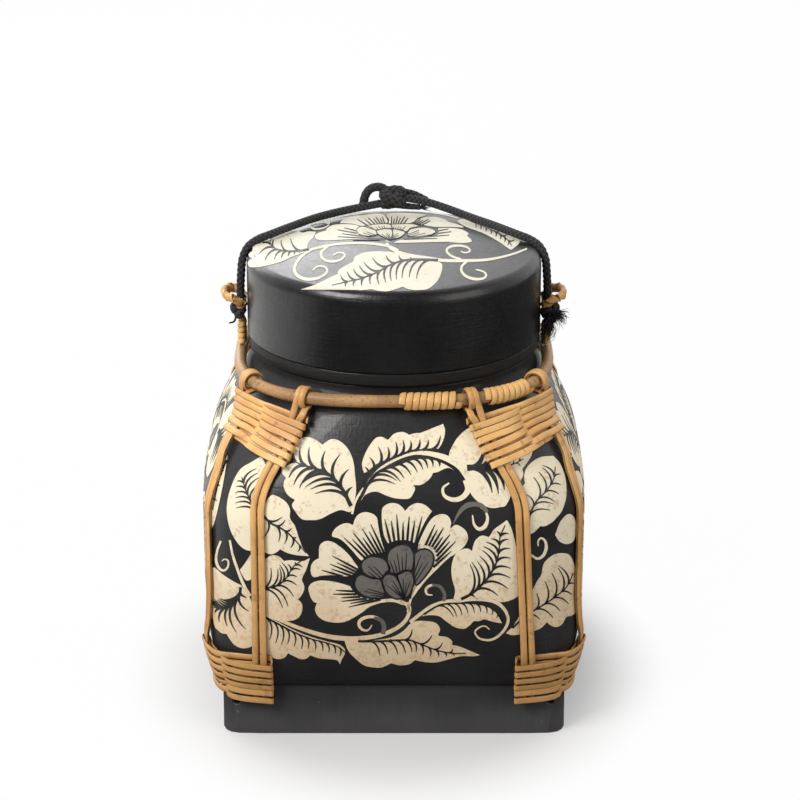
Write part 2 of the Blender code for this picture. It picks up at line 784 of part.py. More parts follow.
def lashing(name, low_z, high_z, sx, sy, sway, leaning, hole_end):
    """A flat strip wound in a figure of eight: over one strap, between them, over the other."""
    fine = [low_z + (high_z - low_z) * k / 40 for k in range(41)]
    climb = [cane_point(strap_angle("end", z, sway), z) if leaning else UP * z for z in fine]
    lengths = np.cumsum([0.0] + [(q - p).length for p, q in zip(climb, climb[1:])])
    turns = round(lengths[-1] / STRIP_PITCH)
    count = turns * POINTS_PER_TURN
    reach = CANE_THICKNESS / 2 + CANE_GAP + STRIP_THICKNESS / 2
    points = []
    sideways = []
    shares = []
    for k in range(count + 1):
        turn = 2 * math.pi * k / POINTS_PER_TURN
        z = float(np.interp(lengths[-1] * k / count, lengths, fine))
        place = -math.cos(turn)
        wave = math.tanh(LASHING_WAVE * math.sin(2 * turn)) / math.tanh(LASHING_WAVE)
        point, rise = lashing_point(z, place, -reach * wave, sway)
        points.append(point)
        sideways.append(rise)
        shares.append(smooth_step((abs(place) - 0.10) / 0.30))
    apart = min((q - p).length for p, q in zip(points, points[POINTS_PER_TURN:]))
    strip_width = apart - STRIP_SELF_GAP
    widths = [STRIP_CROSSING_WIDTH + (strip_width - STRIP_CROSSING_WIDTH) * share for share in shares]
    if hole_end:
        inside = Vector((HOLE_X, BASE_HALF - BASE_THICKNESS * 0.45, HOLE_Z))
        tip = [inside, Vector((HOLE_X, BASE_HALF + 0.0012, HOLE_Z))]
        points = tip + points[1:]
        sideways = [UP, UP] + sideways[1:]
        widths = [STRIP_CROSSING_WIDTH] * 2 + widths[1:]
    points = [placed(p, sx, sy) for p in points]
    sideways = [placed(s, sx, sy) for s in sideways]
    sections = strip_sections(points, sideways, widths, STRIP_THICKNESS)
    gap = least_self_gap(sections, POINTS_PER_TURN // 2 - 1)
    print(f"{name}: {turns} turns of {strip_width * 1000:.1f} mm strip, "
          f"least gap to itself {gap * 1000:.2f} mm")
    return loft(name, sections, RATTAN)


# Ears

def ear_route(side):
    """Two legs off the hoop that open into a level eye round the cord."""
    leg = EAR_LEG_X
    eye = EAR_EYE_Z
    foot = HOOP_Z + HOOP_ROD_RADIUS + SEAT_GAP + 0.0004
    stalk = HOOP_Z + EAR_BINDING_LIFT + EAR_BINDING_HEIGHT
    rise = eye - stalk
    long = EAR_EYE_HALF_LENGTH
    half = [(leg, EAR_LEG_HALF_GAP, foot),
            (leg, EAR_LEG_HALF_GAP, HOOP_Z + 0.010),
            (leg, EAR_LEG_HALF_GAP, stalk + rise * 0.094),
            (leg, long * 0.42, stalk + rise * 0.256),
            (leg, long * 0.68, stalk + rise * 0.400),
            (leg + EAR_EYE_REACH * 0.07, long * 0.87, stalk + rise * 0.650),
            (leg + EAR_EYE_REACH * 0.17, long * 0.95, stalk + rise * 0.872),
            (leg + EAR_EYE_REACH * 0.43, long * 0.94, eye - 0.0004),
            (leg + EAR_EYE_REACH * 0.83, long * 0.66, eye)]
    tip = [(leg + EAR_EYE_REACH, 0.0, eye)]
    back = [(x, -y, z) for x, y, z in reversed(half)]
    return [(x * side, y, z) for x, y, z in half + tip + back]


def ear_loop(name, side):
    points, _ = smooth_route(ear_route(side), 0.0030)
    radii = []
    for point in points:
        grow = smooth_step((point.z - EAR_EYE_Z + 0.0063) / 0.005)
        radii.append(EAR_LEG_RADIUS + (EAR_EYE_RADIUS - EAR_LEG_RADIUS) * grow)
    return tube(name, points, radii, RATTAN, sides=6)


def ear_binding(name, side):
    """A strip wound round both legs, which makes the ear's stalk."""
    per_turn = 12
    pitch = EAR_BINDING_HEIGHT / EAR_BINDING_TURNS
    reach = EAR_LEG_RADIUS + CANE_GAP + EAR_BINDING_THICKNESS / 2
    low = HOOP_Z + EAR_BINDING_LIFT
    points = []
    for k in range(EAR_BINDING_TURNS * per_turn + 1):
        turn = 2 * math.pi * k / per_turn
        across = math.copysign(abs(math.cos(turn)) ** 0.7, math.cos(turn)) * reach
        y = math.copysign(abs(math.sin(turn)) ** 0.7, math.sin(turn)) * (EAR_LEG_HALF_GAP + reach)
        points.append(Vector((side * (EAR_LEG_X + across), y, low + pitch * k / per_turn)))
    width = pitch - WRAP_SELF_GAP
    sections = strip_sections(points, [UP] * len(points), width, EAR_BINDING_THICKNESS)
    print(f"{name}: least gap to itself {least_self_gap(sections, per_turn - 1) * 1000:.2f} mm")
    return loft(name, sections, RATTAN)


# Carrying cord and its knots

def over_lid(side, x_share, y_share, extra):
    """A cord point lying on the lid's top, placed in shares of the lid's radius."""
    x = side * LID_RADIUS * x_share
    y = LID_RADIUS * y_share
    return (x, y, lid_surface_z(math.hypot(x, y)) + CORD_DIAMETER / 2 + CANE_GAP + extra)


def cord_half_route(side, start_z):
    """From the knot under an ear, up through its eye, over the lid's edge to the middle knot."""
    x = CORD_X
    crown = LID_CROWN_Z
    knot = Vector(MIDDLE_KNOT)
    return [(side * x, 0.0, start_z),
            (side * x, 0.0002, start_z + 0.006),
            (side * x, 0.0008, crown - 0.0132),
            (side * (x - 0.0002), 0.0025, crown - 0.0057),
            (side * (x - 0.0018), 0.0060, crown - 0.0007),
            (side * (x - 0.0056), 0.0105, crown + 0.0024),
            over_lid(side, 0.855, 0.225, 0.0003),
            over_lid(side, 0.694, 0.411, 0.0004),
            over_lid(side, 0.540, 0.591, 0.0008),
            over_lid(side, 0.373, 0.746, 0.0016),
            over_lid(side, 0.219, 0.836, 0.0030),
            (knot.x + side * 0.0080, knot.y, knot.z - 0.0021)]


def carrying_cord(name, side, drop, knot_size):
    start_z = EAR_EYE_Z - drop + knot_size[2] + SEAT_GAP
    points, length = smooth_route(cord_half_route(side, start_z), 0.0068)
    print(f"{name}: {length * 1000:.0f} mm long")
    return tube(name, points, CORD_DIAMETER / 2, CORD_BLACK)


def knot_ball(name, centre, size):
    """A tight knot as a rounded lump."""
    bm = bmesh.new()
    bmesh.ops.create_uvsphere(bm, u_segments=14, v_segments=9, radius=1)
    bmesh.ops.scale(bm, vec=size, verts=bm.verts)
    bmesh.ops.translate(bm, vec=centre, verts=bm.verts)
    mesh = bpy.data.meshes.new(name)
    bm.to_mesh(mesh)
    bm.free()
    shade(mesh)
    return add_object(name, mesh, CORD_BLACK)


def knot_end(name, steps, spacing):
    """A short piece of cord at the middle knot, given in steps from the knot's centre."""
    centre = Vector(MIDDLE_KNOT)
    points, _ = smooth_route([centre + Vector(step) for step in steps], spacing)
    return tube(name, points, KNOT_END_RADIUS, CORD_BLACK, sides=6)


def knot_loop():
    """The small bight that stands beside the middle knot."""
    knot_end("knot_loop", [(-0.0078, 0.0035, -0.0005), (-0.0087, 0.0038, 0.0035), (-0.0117, 0.0038, 0.0041),
                           (-0.0150, 0.0032, 0.0009), (-0.0170, 0.0026, -0.0033)], 0.0026)


def knot_tail():
    """The cut end that lies along the cord on the other side of the knot."""
    knot_end("knot_tail", [(0.0060, 0.0040, 0.0020), (0.0128, 0.0036, 0.0009),
                           (0.0188, 0.0020, -0.0018)], 0.0040)


def knots():
    knot_ball("ear_knot_left", (-CORD_X, 0, EAR_EYE_Z - LEFT_KNOT_DROP), LEFT_KNOT_SIZE)
    right = (CORD_X + RIGHT_KNOT_SHIFT, 0, EAR_EYE_Z - RIGHT_KNOT_DROP)
    knot_ball("ear_knot_right", right, RIGHT_KNOT_SIZE)
    knot_ball("middle_knot", MIDDLE_KNOT, MIDDLE_KNOT_SIZE)
    knot_loop()
    knot_tail()


# The basket

base_boards()
basket_body()
neck_fittings()
lid_wall()
lid_top()
lid_slip_ring()
neck_hoop()
right_loop_x = END_STRAP_HIGH - FRONT_RIGHT_SWAY
hoop_winding("hoop_winding_front", FRONT_WRAP_START_X, right_loop_x - FRONT_WRAP_STRAP_ROOM, FRONT_WRAP_TURNS)
corner_wrap_x = right_loop_x + CORNER_WRAP_STRAP_ROOM
hoop_winding("hoop_winding_corner", corner_wrap_x, corner_wrap_x + CORNER_WRAP_LENGTH, CORNER_WRAP_TURNS)
for corner, sx, sy, sway in CORNERS:
    strap("end_strap_" + corner, "end", sx, sy, sway)
    strap("side_strap_" + corner, "side", sx, sy, sway)
    lashing("upper_lashing_" + corner, UPPER_LASHING_LOW_Z, UPPER_LASHING_HIGH_Z, sx, sy, sway, True, False)
    lashing("lower_lashing_" + corner, LOWER_LASHING_LOW_Z, LOWER_LASHING_HIGH_Z, sx, sy, sway, False, True)
for label, side in (("left", -1), ("right", 1)):
    ear_loop("ear_loop_" + label, side)
    ear_binding("ear_binding_" + label, side)
knots()
carrying_cord("cord_left", -1, LEFT_KNOT_DROP, LEFT_KNOT_SIZE)
carrying_cord("cord_right", 1, RIGHT_KNOT_DROP, RIGHT_KNOT_SIZE)
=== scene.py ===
# %% [markdown]
# # A sticky rice basket
#
# A basket like this is carried to the field with cooked rice in it. The body is woven bamboo under
# black lacquer, square at the foot and round at the neck. It stands on a square wooden base, and
# rattan straps lashed at the four corners hold base, body and neck hoop together. A black cord runs
# through two rattan ears and over the lid. Leaves and flowers are painted on in cream.
#
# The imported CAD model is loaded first. Every piece here is made in the same metres and the same
# place as the CAD node that it dresses, so nothing has to be fitted afterwards.

# %% Load the frame
import json
import math
import random

import bmesh
import bpy
from mathutils import Matrix, Vector
from mathutils import geometry as plane_geometry
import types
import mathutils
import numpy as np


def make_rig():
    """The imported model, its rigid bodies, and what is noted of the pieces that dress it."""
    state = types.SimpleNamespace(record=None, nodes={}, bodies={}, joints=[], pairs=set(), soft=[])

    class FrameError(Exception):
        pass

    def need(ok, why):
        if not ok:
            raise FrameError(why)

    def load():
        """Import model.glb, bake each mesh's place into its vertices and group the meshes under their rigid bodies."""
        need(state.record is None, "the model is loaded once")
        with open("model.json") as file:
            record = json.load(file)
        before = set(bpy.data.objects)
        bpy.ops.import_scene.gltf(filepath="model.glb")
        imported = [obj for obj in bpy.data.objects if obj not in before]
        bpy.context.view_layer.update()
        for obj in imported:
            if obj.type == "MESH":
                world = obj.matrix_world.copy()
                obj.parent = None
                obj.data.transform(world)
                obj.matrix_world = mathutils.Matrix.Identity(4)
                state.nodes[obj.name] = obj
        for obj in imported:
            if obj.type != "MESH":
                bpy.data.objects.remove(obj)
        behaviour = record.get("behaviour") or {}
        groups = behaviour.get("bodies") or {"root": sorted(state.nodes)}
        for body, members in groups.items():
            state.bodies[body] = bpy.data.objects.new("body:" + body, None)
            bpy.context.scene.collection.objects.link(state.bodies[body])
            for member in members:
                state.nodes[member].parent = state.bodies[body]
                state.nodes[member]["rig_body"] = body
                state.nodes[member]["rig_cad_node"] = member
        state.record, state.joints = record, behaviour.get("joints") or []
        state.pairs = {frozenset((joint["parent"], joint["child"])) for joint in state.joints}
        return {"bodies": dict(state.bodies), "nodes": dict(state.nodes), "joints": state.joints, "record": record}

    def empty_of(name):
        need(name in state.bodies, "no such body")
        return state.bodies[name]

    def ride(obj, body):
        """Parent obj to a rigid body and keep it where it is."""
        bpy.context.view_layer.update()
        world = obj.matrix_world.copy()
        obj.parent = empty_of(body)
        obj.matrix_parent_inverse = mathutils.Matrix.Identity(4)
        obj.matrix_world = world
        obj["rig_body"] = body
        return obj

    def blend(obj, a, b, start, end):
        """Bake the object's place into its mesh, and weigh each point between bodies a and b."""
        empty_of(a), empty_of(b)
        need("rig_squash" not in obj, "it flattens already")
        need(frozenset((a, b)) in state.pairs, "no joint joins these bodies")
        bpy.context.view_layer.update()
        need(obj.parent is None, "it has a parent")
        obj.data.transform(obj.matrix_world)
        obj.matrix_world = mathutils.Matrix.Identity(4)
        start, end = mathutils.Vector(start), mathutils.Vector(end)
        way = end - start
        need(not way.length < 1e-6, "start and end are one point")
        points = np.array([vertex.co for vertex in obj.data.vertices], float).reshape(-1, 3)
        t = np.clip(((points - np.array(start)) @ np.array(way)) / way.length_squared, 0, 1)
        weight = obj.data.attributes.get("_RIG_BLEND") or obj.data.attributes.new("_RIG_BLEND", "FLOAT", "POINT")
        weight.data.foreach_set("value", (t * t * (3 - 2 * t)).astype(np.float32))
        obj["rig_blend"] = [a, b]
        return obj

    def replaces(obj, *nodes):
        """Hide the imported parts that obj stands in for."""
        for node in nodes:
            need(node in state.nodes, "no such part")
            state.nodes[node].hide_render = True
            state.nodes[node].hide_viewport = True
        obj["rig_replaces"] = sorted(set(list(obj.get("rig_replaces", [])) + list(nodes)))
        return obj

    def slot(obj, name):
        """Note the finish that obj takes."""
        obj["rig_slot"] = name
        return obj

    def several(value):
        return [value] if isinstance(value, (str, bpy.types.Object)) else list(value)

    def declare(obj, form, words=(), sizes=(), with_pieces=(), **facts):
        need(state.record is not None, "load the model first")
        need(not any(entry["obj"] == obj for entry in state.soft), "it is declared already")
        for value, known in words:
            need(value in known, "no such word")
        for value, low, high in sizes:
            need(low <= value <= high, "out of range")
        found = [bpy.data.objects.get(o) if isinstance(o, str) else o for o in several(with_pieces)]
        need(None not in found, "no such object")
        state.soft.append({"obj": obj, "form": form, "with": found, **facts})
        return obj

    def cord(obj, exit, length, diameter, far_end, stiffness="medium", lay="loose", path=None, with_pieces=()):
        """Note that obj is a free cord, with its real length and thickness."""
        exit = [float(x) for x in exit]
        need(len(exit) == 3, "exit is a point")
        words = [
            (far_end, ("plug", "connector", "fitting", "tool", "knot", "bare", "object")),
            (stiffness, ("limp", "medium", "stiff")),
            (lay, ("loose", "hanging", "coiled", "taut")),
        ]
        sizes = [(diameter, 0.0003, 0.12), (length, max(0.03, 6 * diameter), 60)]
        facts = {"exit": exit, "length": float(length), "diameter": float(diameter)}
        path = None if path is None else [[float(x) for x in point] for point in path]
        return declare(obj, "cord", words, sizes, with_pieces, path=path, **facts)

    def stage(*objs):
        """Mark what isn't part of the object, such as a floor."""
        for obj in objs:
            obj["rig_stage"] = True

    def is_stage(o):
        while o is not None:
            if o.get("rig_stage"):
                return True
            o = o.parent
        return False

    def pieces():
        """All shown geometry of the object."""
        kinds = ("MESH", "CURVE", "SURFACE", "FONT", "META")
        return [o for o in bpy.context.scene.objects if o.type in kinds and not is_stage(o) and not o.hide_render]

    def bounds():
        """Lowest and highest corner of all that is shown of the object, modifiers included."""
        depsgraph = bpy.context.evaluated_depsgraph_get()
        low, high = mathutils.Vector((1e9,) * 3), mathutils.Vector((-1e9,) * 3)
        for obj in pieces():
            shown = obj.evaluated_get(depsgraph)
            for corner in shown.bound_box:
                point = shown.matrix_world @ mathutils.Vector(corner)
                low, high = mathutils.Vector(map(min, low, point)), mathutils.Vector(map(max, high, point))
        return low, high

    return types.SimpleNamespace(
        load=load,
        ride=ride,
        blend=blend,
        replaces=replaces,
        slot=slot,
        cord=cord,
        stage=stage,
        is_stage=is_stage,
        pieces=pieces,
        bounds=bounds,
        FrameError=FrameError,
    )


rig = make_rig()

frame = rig.load()
CAD_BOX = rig.bounds()
SCENE = bpy.context.scene
NODES = frame["nodes"]
UP = Vector((0, 0, 1))
print("frame loaded:", len(NODES), "CAD nodes")

# %% [markdown]
# ## Camera
#
# The photograph looks down on the basket a little, from far off with a long lens. A short lens
# close by would show the same front face with a much bigger lid. The place below comes from how
# fast widths shrink from the base board up to the back of the lid.

# %% Camera
IMAGE_SIZE = 800
FOCAL_PIXELS = 2800
CAMERA_AT = Vector((0.0032, -1.417, 0.663))
CAMERA_DOWN = math.radians(19.76)

lens = bpy.data.cameras.new("camera")
lens.sensor_width = 36
lens.lens = 36 * FOCAL_PIXELS / IMAGE_SIZE
camera = bpy.data.objects.new("camera", lens)
camera.location = CAMERA_AT
camera.rotation_euler = (math.pi / 2 - CAMERA_DOWN, 0, 0)
SCENE.collection.objects.link(camera)
SCENE.camera = camera
print("camera: lens", lens.lens, "mm")

# %% [markdown]
# ## Sizes of the basket
#
# A basket maker starts from the mould, and so does this script: the same rounded square gives the
# body, the straps that lie on it and the paint that sits on it. The numbers are those of the CAD
# source, so that a piece made here lies exactly where its node does.

# %% Sizes
BASE_HEIGHT = 0.0284
BASE_HALF = 0.0898
BASE_CORNER_RADIUS = 0.020
BASE_THICKNESS = 0.010
FOOT_HALF = 0.0920
BELLY_HALF = 0.1010
BELLY_LOW_Z = 0.075
BELLY_HIGH_Z = 0.118
NECK_RADIUS = 0.0752
FOOT_SQUARENESS = 9.0
BELLY_SQUARENESS = 4.3
NECK_SQUARENESS = 2.0
NECK_Z = 0.184
NECK_TOP_Z = 0.1882
BODY_WALL = 0.0034
COLLAR_RADIUS = 0.0715
COLLAR_WALL = 0.0020
COLLAR_LOW_Z = 0.176
COLLAR_TOP_Z = 0.212
BAND_LOW_Z = 0.1885
BAND_HEIGHT = 0.0068
LID_RADIUS = 0.0778
LID_WALL = 0.0030
LID_LOW_Z = 0.1956
LID_SEAM_Z = 0.2334
LID_CROWN_Z = 0.2385
LID_EDGE = 0.0072
LID_EDGE_WIDE = 0.0050
LID_DOME = 0.0022
LID_THICKNESS = 0.0040
SLIP_RING_INNER = 0.0724
SLIP_RING_OUTER = 0.0745
HOOP_HALF = 0.0815
HOOP_SQUARENESS = 2.8
HOOP_ROD_RADIUS = 0.0035
HOOP_Z = 0.1825
EAR_X = 0.0809
EAR_EYE_Z = 0.2148
EAR_REACH = 0.0088
EAR_STALK_TOP_Z = HOOP_Z + 0.0143
CORD_X = 0.0813
CORD_DIAMETER = 0.0045
MIDDLE_KNOT = Vector((-0.0008, 0.0680, 0.2476))
CANE_GAP = 0.0005
CANE_WIDTH = 0.0038
CANE_THICKNESS = 0.0020
STRIP_THICKNESS = 0.0008
LASHING_HEIGHTS = {"upper": (0.1560, 0.1772), "lower": (0.0215, 0.0470)}
PAINT_THICKNESS = 0.00012
SAME_POINT = 0.000002
print("body", 2000 * BELLY_HALF, "mm wide, lid", 2000 * LID_RADIUS, "mm across")


# %% [markdown]
# ## The rounded square
#
# A superellipse is a circle whose exponent can be raised until it looks square. One height gives a
# half width and an exponent, so the foot can be square, the neck round and all between them smooth.

# %% Body form
def smooth_step(value):
    t = min(max(value, 0.0), 1.0)
    return t * t * (3 - 2 * t)


def halve(low, high, steps, is_before):
    """Narrows low..high down to the place where is_before stops being true."""
    for _ in range(steps):
        middle = (low + high) / 2
        low, high = (middle, high) if is_before(middle) else (low, middle)
    return low, high


def squircle_radius(half, squareness, angle):
    c = abs(math.cos(angle))
    s = abs(math.sin(angle))
    return half / (c ** squareness + s ** squareness) ** (1 / squareness)


def body_radius(angle, z):
    if z < BELLY_LOW_Z:
        t = max(0.0, (z - BASE_HEIGHT) / (BELLY_LOW_Z - BASE_HEIGHT))
        half = BELLY_HALF - (BELLY_HALF - FOOT_HALF) * (1 - t) ** 2.4
        extra = FOOT_SQUARENESS - BELLY_SQUARENESS
        return squircle_radius(half, BELLY_SQUARENESS + extra * (1 - t) ** 2, angle)
    t = min(max((z - BELLY_HIGH_Z) / (NECK_Z - BELLY_HIGH_Z), 0.0), 1.0)
    half = NECK_RADIUS + (BELLY_HALF - NECK_RADIUS) * (1 - t ** 1.9) ** 1.25
    extra = BELLY_SQUARENESS - NECK_SQUARENESS
    return squircle_radius(half, NECK_SQUARENESS + extra * (1 - t ** 1.6), angle)


def polar(radius, angle, z):
    return Vector((radius * math.cos(angle), radius * math.sin(angle), z))


def on_skin(angle, z):
    return polar(body_radius(angle, z), angle, z)


def body_point(angle, z, proud):
    """A point a little proud of the body's outside."""
    step = 0.0008
    across = on_skin(angle + step, z) - on_skin(angle - step, z)
    rise = on_skin(angle, z + step) - on_skin(angle, z - step)
    return on_skin(angle, z) + across.cross(rise).normalized() * proud


print("half width at the foot", round(body_radius(0, BASE_HEIGHT) * 1000, 1), "mm")


# %% [markdown]
# ## Two ways to make a skin
#
# Most pieces here are a flat sheet wrapped on something: a body, a rod, a strip of cane. So the
# helper makes a grid with the grid operator, which also gives it a UV map, and then moves each
# point to its place. The UV map is kept in centimetres along the piece, so that fibres in a
# material run the right way and keep their size. Joined seams are merged before normals are made.
# The rings and the lid are sections spun round the upright axis.

# %% Skin and finish a mesh
def finish_mesh(name, bm, material, body="basket", smooth=40):
    mesh = bpy.data.meshes.new(name)
    bm.to_mesh(mesh)
    bm.free()
    mesh.shade_smooth()
    mesh.set_sharp_from_angle(angle=math.radians(smooth))
    mesh.materials.append(material)
    piece = bpy.data.objects.new(name, mesh)
    SCENE.collection.objects.link(piece)
    if body:
        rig.ride(piece, body)
    return piece


def finish_node(node, slot, name, bm, material, body="basket", smooth=60):
    """Finishes a piece that takes the place of a CAD node."""
    piece = finish_mesh(name, bm, material, body, smooth)
    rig.replaces(piece, node)
    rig.slot(piece, slot)
    return piece


def bent_grid(bm, columns, rows, place, size=(1.0, 1.0), cap=False):
    """Adds a grid to bm, each of whose points (u, v) from 0 to 1 goes to place(u, v)."""
    uv = bm.loops.layers.uv.verify()
    made = bmesh.ops.create_grid(bm, x_segments=columns, y_segments=rows, size=0.5, calc_uvs=True)
    verts = made["verts"]
    faces = list({face for vert in verts for face in vert.link_faces})
    for face in faces:
        for corner in face.loops:
            corner[uv].uv = (corner[uv].uv.x * size[0], corner[uv].uv.y * size[1])
    for vert in verts:
        vert.co = place(vert.co.x + 0.5, vert.co.y + 0.5)
    bmesh.ops.remove_doubles(bm, verts=verts, dist=SAME_POINT)
    faces = [face for face in faces if face.is_valid]
    if cap:
        open_edges = list({edge for face in faces for edge in face.edges if edge.is_boundary})
        faces += bmesh.ops.holes_fill(bm, edges=open_edges, sides=0)["faces"]
    bmesh.ops.recalc_face_normals(bm, faces=faces)
    return faces


def turned(profile, steps):
    """A section in the XZ plane, spun round Z; one that starts off the axis is closed first."""
    bm = bmesh.new()
    verts = [bm.verts.new((radius, 0, z)) for radius, z in profile]
    edges = [bm.edges.new(pair) for pair in zip(verts, verts[1:])]
    if profile[0][0] > 0:
        edges.append(bm.edges.new((verts[-1], verts[0])))
    bmesh.ops.spin(bm, geom=verts + edges, axis=UP, cent=(0, 0, 0), angle=math.tau,
                   steps=steps, use_merge=True)
    bmesh.ops.remove_doubles(bm, verts=bm.verts, dist=SAME_POINT)
    bmesh.ops.recalc_face_normals(bm, faces=bm.faces)
    return bm


# %% [markdown]
# ## Routes
#
# A cord or cane follows a route: a few points that a smooth curve passes through. The curve is cut
# into even steps, and a sideways direction is carried along it without twisting, so that a round
# section keeps its turn from one step to the next.

# %% Smooth routes
def smooth_route(points, spacing):
    """Even points on the smooth curve through a route's own points, and its length."""
    route = [Vector(p) for p in points]
    ends = [2 * route[0] - route[1]] + route + [2 * route[-1] - route[-2]]
    fine = []
    for i in range(1, len(ends) - 2):
        a, b, c, d = ends[i - 1:i + 3]
        for k in range(24):
            t = k / 24
            fine.append(0.5 * (2 * b + (c - a) * t + (2 * a - 5 * b + 4 * c - d) * t * t
                               + (3 * b - a - 3 * c + d) * t ** 3))
    fine.append(route[-1])
    length = sum((q - p).length for p, q in zip(fine, fine[1:]))
    count = max(2, round(length / spacing))
    even = [fine[0]]
    walked = 0.0
    for p, q in zip(fine, fine[1:]):
        step = (q - p).length
        while len(even) < count and walked + step >= length * len(even) / count:
            even.append(p.lerp(q, (length * len(even) / count - walked) / max(step, 1e-9)))
        walked += step
    return even + [fine[-1]], length


def carried_frames(points, start=UP, closed=False):
    """A direction across the route and one square to it, at each point, without twist."""
    frames = []
    count = len(points)
    across = None
    for i in range(count):
        before = points[i - 1] if closed or i else points[0]
        after = points[(i + 1) % count] if closed or i < count - 1 else points[-1]
        along = (after - before).normalized()
        across = start if across is None else across
        across = across - along * across.dot(along)
        if across.length < 1e-6:
            across = Vector((1, 0.3, 0)) - along * along.dot(Vector((1, 0.3, 0)))
        across.normalize()
        frames.append((across.copy(), along.cross(across)))
    return frames


def at_share(items, share):
    """The item of a list at a share from 0 to 1, mixed from its two neighbours."""
    place = share * (len(items) - 1)
    low = min(int(place), len(items) - 2)
    return items[low].lerp(items[low + 1], place - low)


def tube(bm, points, radius, sides=16, closed=False, bumps=None):
    """A round rod along even points; radius is a number or a function of the share along."""
    frames = carried_frames(points, UP, closed)
    if closed:
        points = points + [points[0]]
        frames = frames + [frames[0]]
    rows = len(points) - 1
    length = sum((q - p).length for p, q in zip(points, points[1:]))

    def place(u, v):
        i = round(v * rows)
        wide = radius(v) if callable(radius) else radius
        if bumps:
            wide *= bumps(u, v * length)
        across, out = frames[i]
        turn = math.tau * u
        return points[i] + (across * math.cos(turn) + out * math.sin(turn)) * wide

    girth = math.tau * (radius(0.5) if callable(radius) else radius)
    return bent_grid(bm, sides, rows, place, (girth * 100, length * 100), cap=not closed)


RIBBON_UV_GIRTH = 0.8


def ribbon(bm, points, sideways, width, thickness, bow=0.0, tip=0.0, half_columns=5):
    """A flat strip along points, its width along the sideways directions, its middle bowed out."""
    frames = []
    for i in range(len(points)):
        before = points[max(i - 1, 0)]
        after = points[min(i + 1, len(points) - 1)]
        along = (after - before).normalized()
        across = (sideways[i] - along * sideways[i].dot(along)).normalized()
        frames.append((across, across.cross(along)))
    rows = len(points) - 1
    length = sum((q - p).length for p, q in zip(points, points[1:]))

    def place(u, v):
        i = round(v * rows)
        across, out = frames[i]
        top = u <= 0.5
        share = (u * 4 - 1) if top else (3 - u * 4)
        share = max(-1.0, min(1.0, share))
        thin = math.sqrt(max(0.0, 1 - abs(share) ** 6))
        rise = (thickness / 2 if top else -thickness / 2) * thin
        lean = tip * share * width / 2
        return points[i] + across * (share * width / 2) + out * (rise - bow * share * share + lean)

    return bent_grid(bm, half_columns * 2, rows, place, (RIBBON_UV_GIRTH, length * 100), cap=True)


print("routes and skins ready")

# %% [markdown]
# ## Materials
#
# Real lacquer, rattan and paint are never one colour. Each finish here is a small sum of noises.
# One class wraps a socket, so that sums on masks can be written as Python sums. Another makes the
# nodes of a tree, for the world as well, and a finish is such a tree with a shader in it. Numbers
# that are the same all over go straight on the shader.

# %% Shader sums
class Wire:
    """A socket that can be added, multiplied and so on; each sum adds its Math node."""

    def __init__(self, owner, socket):
        self.owner = owner
        self.socket = socket

    def sum(self, operation, first, second):
        return self.owner.node("ShaderNodeMath", {"operation": operation}, {0: first, 1: second})

    def __add__(self, other):
        return self.sum("ADD", self, other)

    def __sub__(self, other):
        return self.sum("SUBTRACT", self, other)

    def __mul__(self, other):
        return self.sum("MULTIPLY", self, other)

    __radd__ = __add__
    __rmul__ = __mul__


class Nodes:
    """The nodes of a material or of the world."""

    def __init__(self, owner):
        owner.use_nodes = True
        self.tree = owner.node_tree

    def feed(self, socket, value):
        if isinstance(value, Wire):
            self.tree.links.new(value.socket, socket)
        elif isinstance(value, tuple) and len(value) == 3 and socket.type == "RGBA":
            socket.default_value = (*value, 1)
        else:
            socket.default_value = value

    def node(self, kind, settings=None, inputs=None, output=0):
        made = self.tree.nodes.new(kind)
        for key, value in (settings or {}).items():
            setattr(made, key, value)
        for key, value in (inputs or {}).items():
            self.feed(made.inputs[key], value)
        return Wire(self, made.outputs[output])

    def place(self, kind="Object", scale=(1, 1, 1)):
        """Object or UV coordinates, scaled: a larger scale gives a finer pattern."""
        source = self.node("ShaderNodeTexCoord", output=kind)
        return self.node("ShaderNodeMapping", None, {"Vector": source, "Scale": scale})

    def part(self, axis, kind="Object"):
        """One of the three coordinates by itself."""
        return self.node("ShaderNodeSeparateXYZ", None, {0: self.place(kind)}, output=axis)

    def noise(self, fineness, detail=2.0, rough=0.5, kind="Object", scale=1.0):
        """Noise whose fineness is one number or three, along X, Y and Z."""
        three = fineness if isinstance(fineness, tuple) else (fineness,) * 3
        return self.node("ShaderNodeTexNoise", None, {"Vector": self.place(kind, three), "Scale": scale,
                                                      "Detail": detail, "Roughness": rough})

    def band(self, value, low, high, to_low=0.0, to_high=1.0):
        """Maps low..high to to_low..to_high, held at the ends."""
        return self.node("ShaderNodeMapRange", {"interpolation_type": "SMOOTHSTEP"},
                         {"Value": value, "From Min": low, "From Max": high,
                          "To Min": to_low, "To Max": to_high})

    def mix(self, share, first, second):
        return self.node("ShaderNodeMix", {"data_type": "RGBA"}, {0: share, 6: first, 7: second}, output=2)


class Finish(Nodes):
    """A material in the making."""

    def __init__(self, name, roughness, coat=0.0, sheen=0.0):
        self.material = bpy.data.materials.new(name)
        super().__init__(self.material)
        self.shader = self.tree.nodes["Principled BSDF"]
        self.set("Roughness", roughness)
        self.set("Coat Weight", coat)
        self.set("Sheen Weight", sheen)

    def set(self, socket, value):
        self.feed(self.shader.inputs[socket], value)

    def bump(self, height, depth):
        """Relief from a height mask of 0 to 1, depth in metres."""
        self.set("Normal", self.node("ShaderNodeBump", None, {"Height": height, "Distance": depth}))


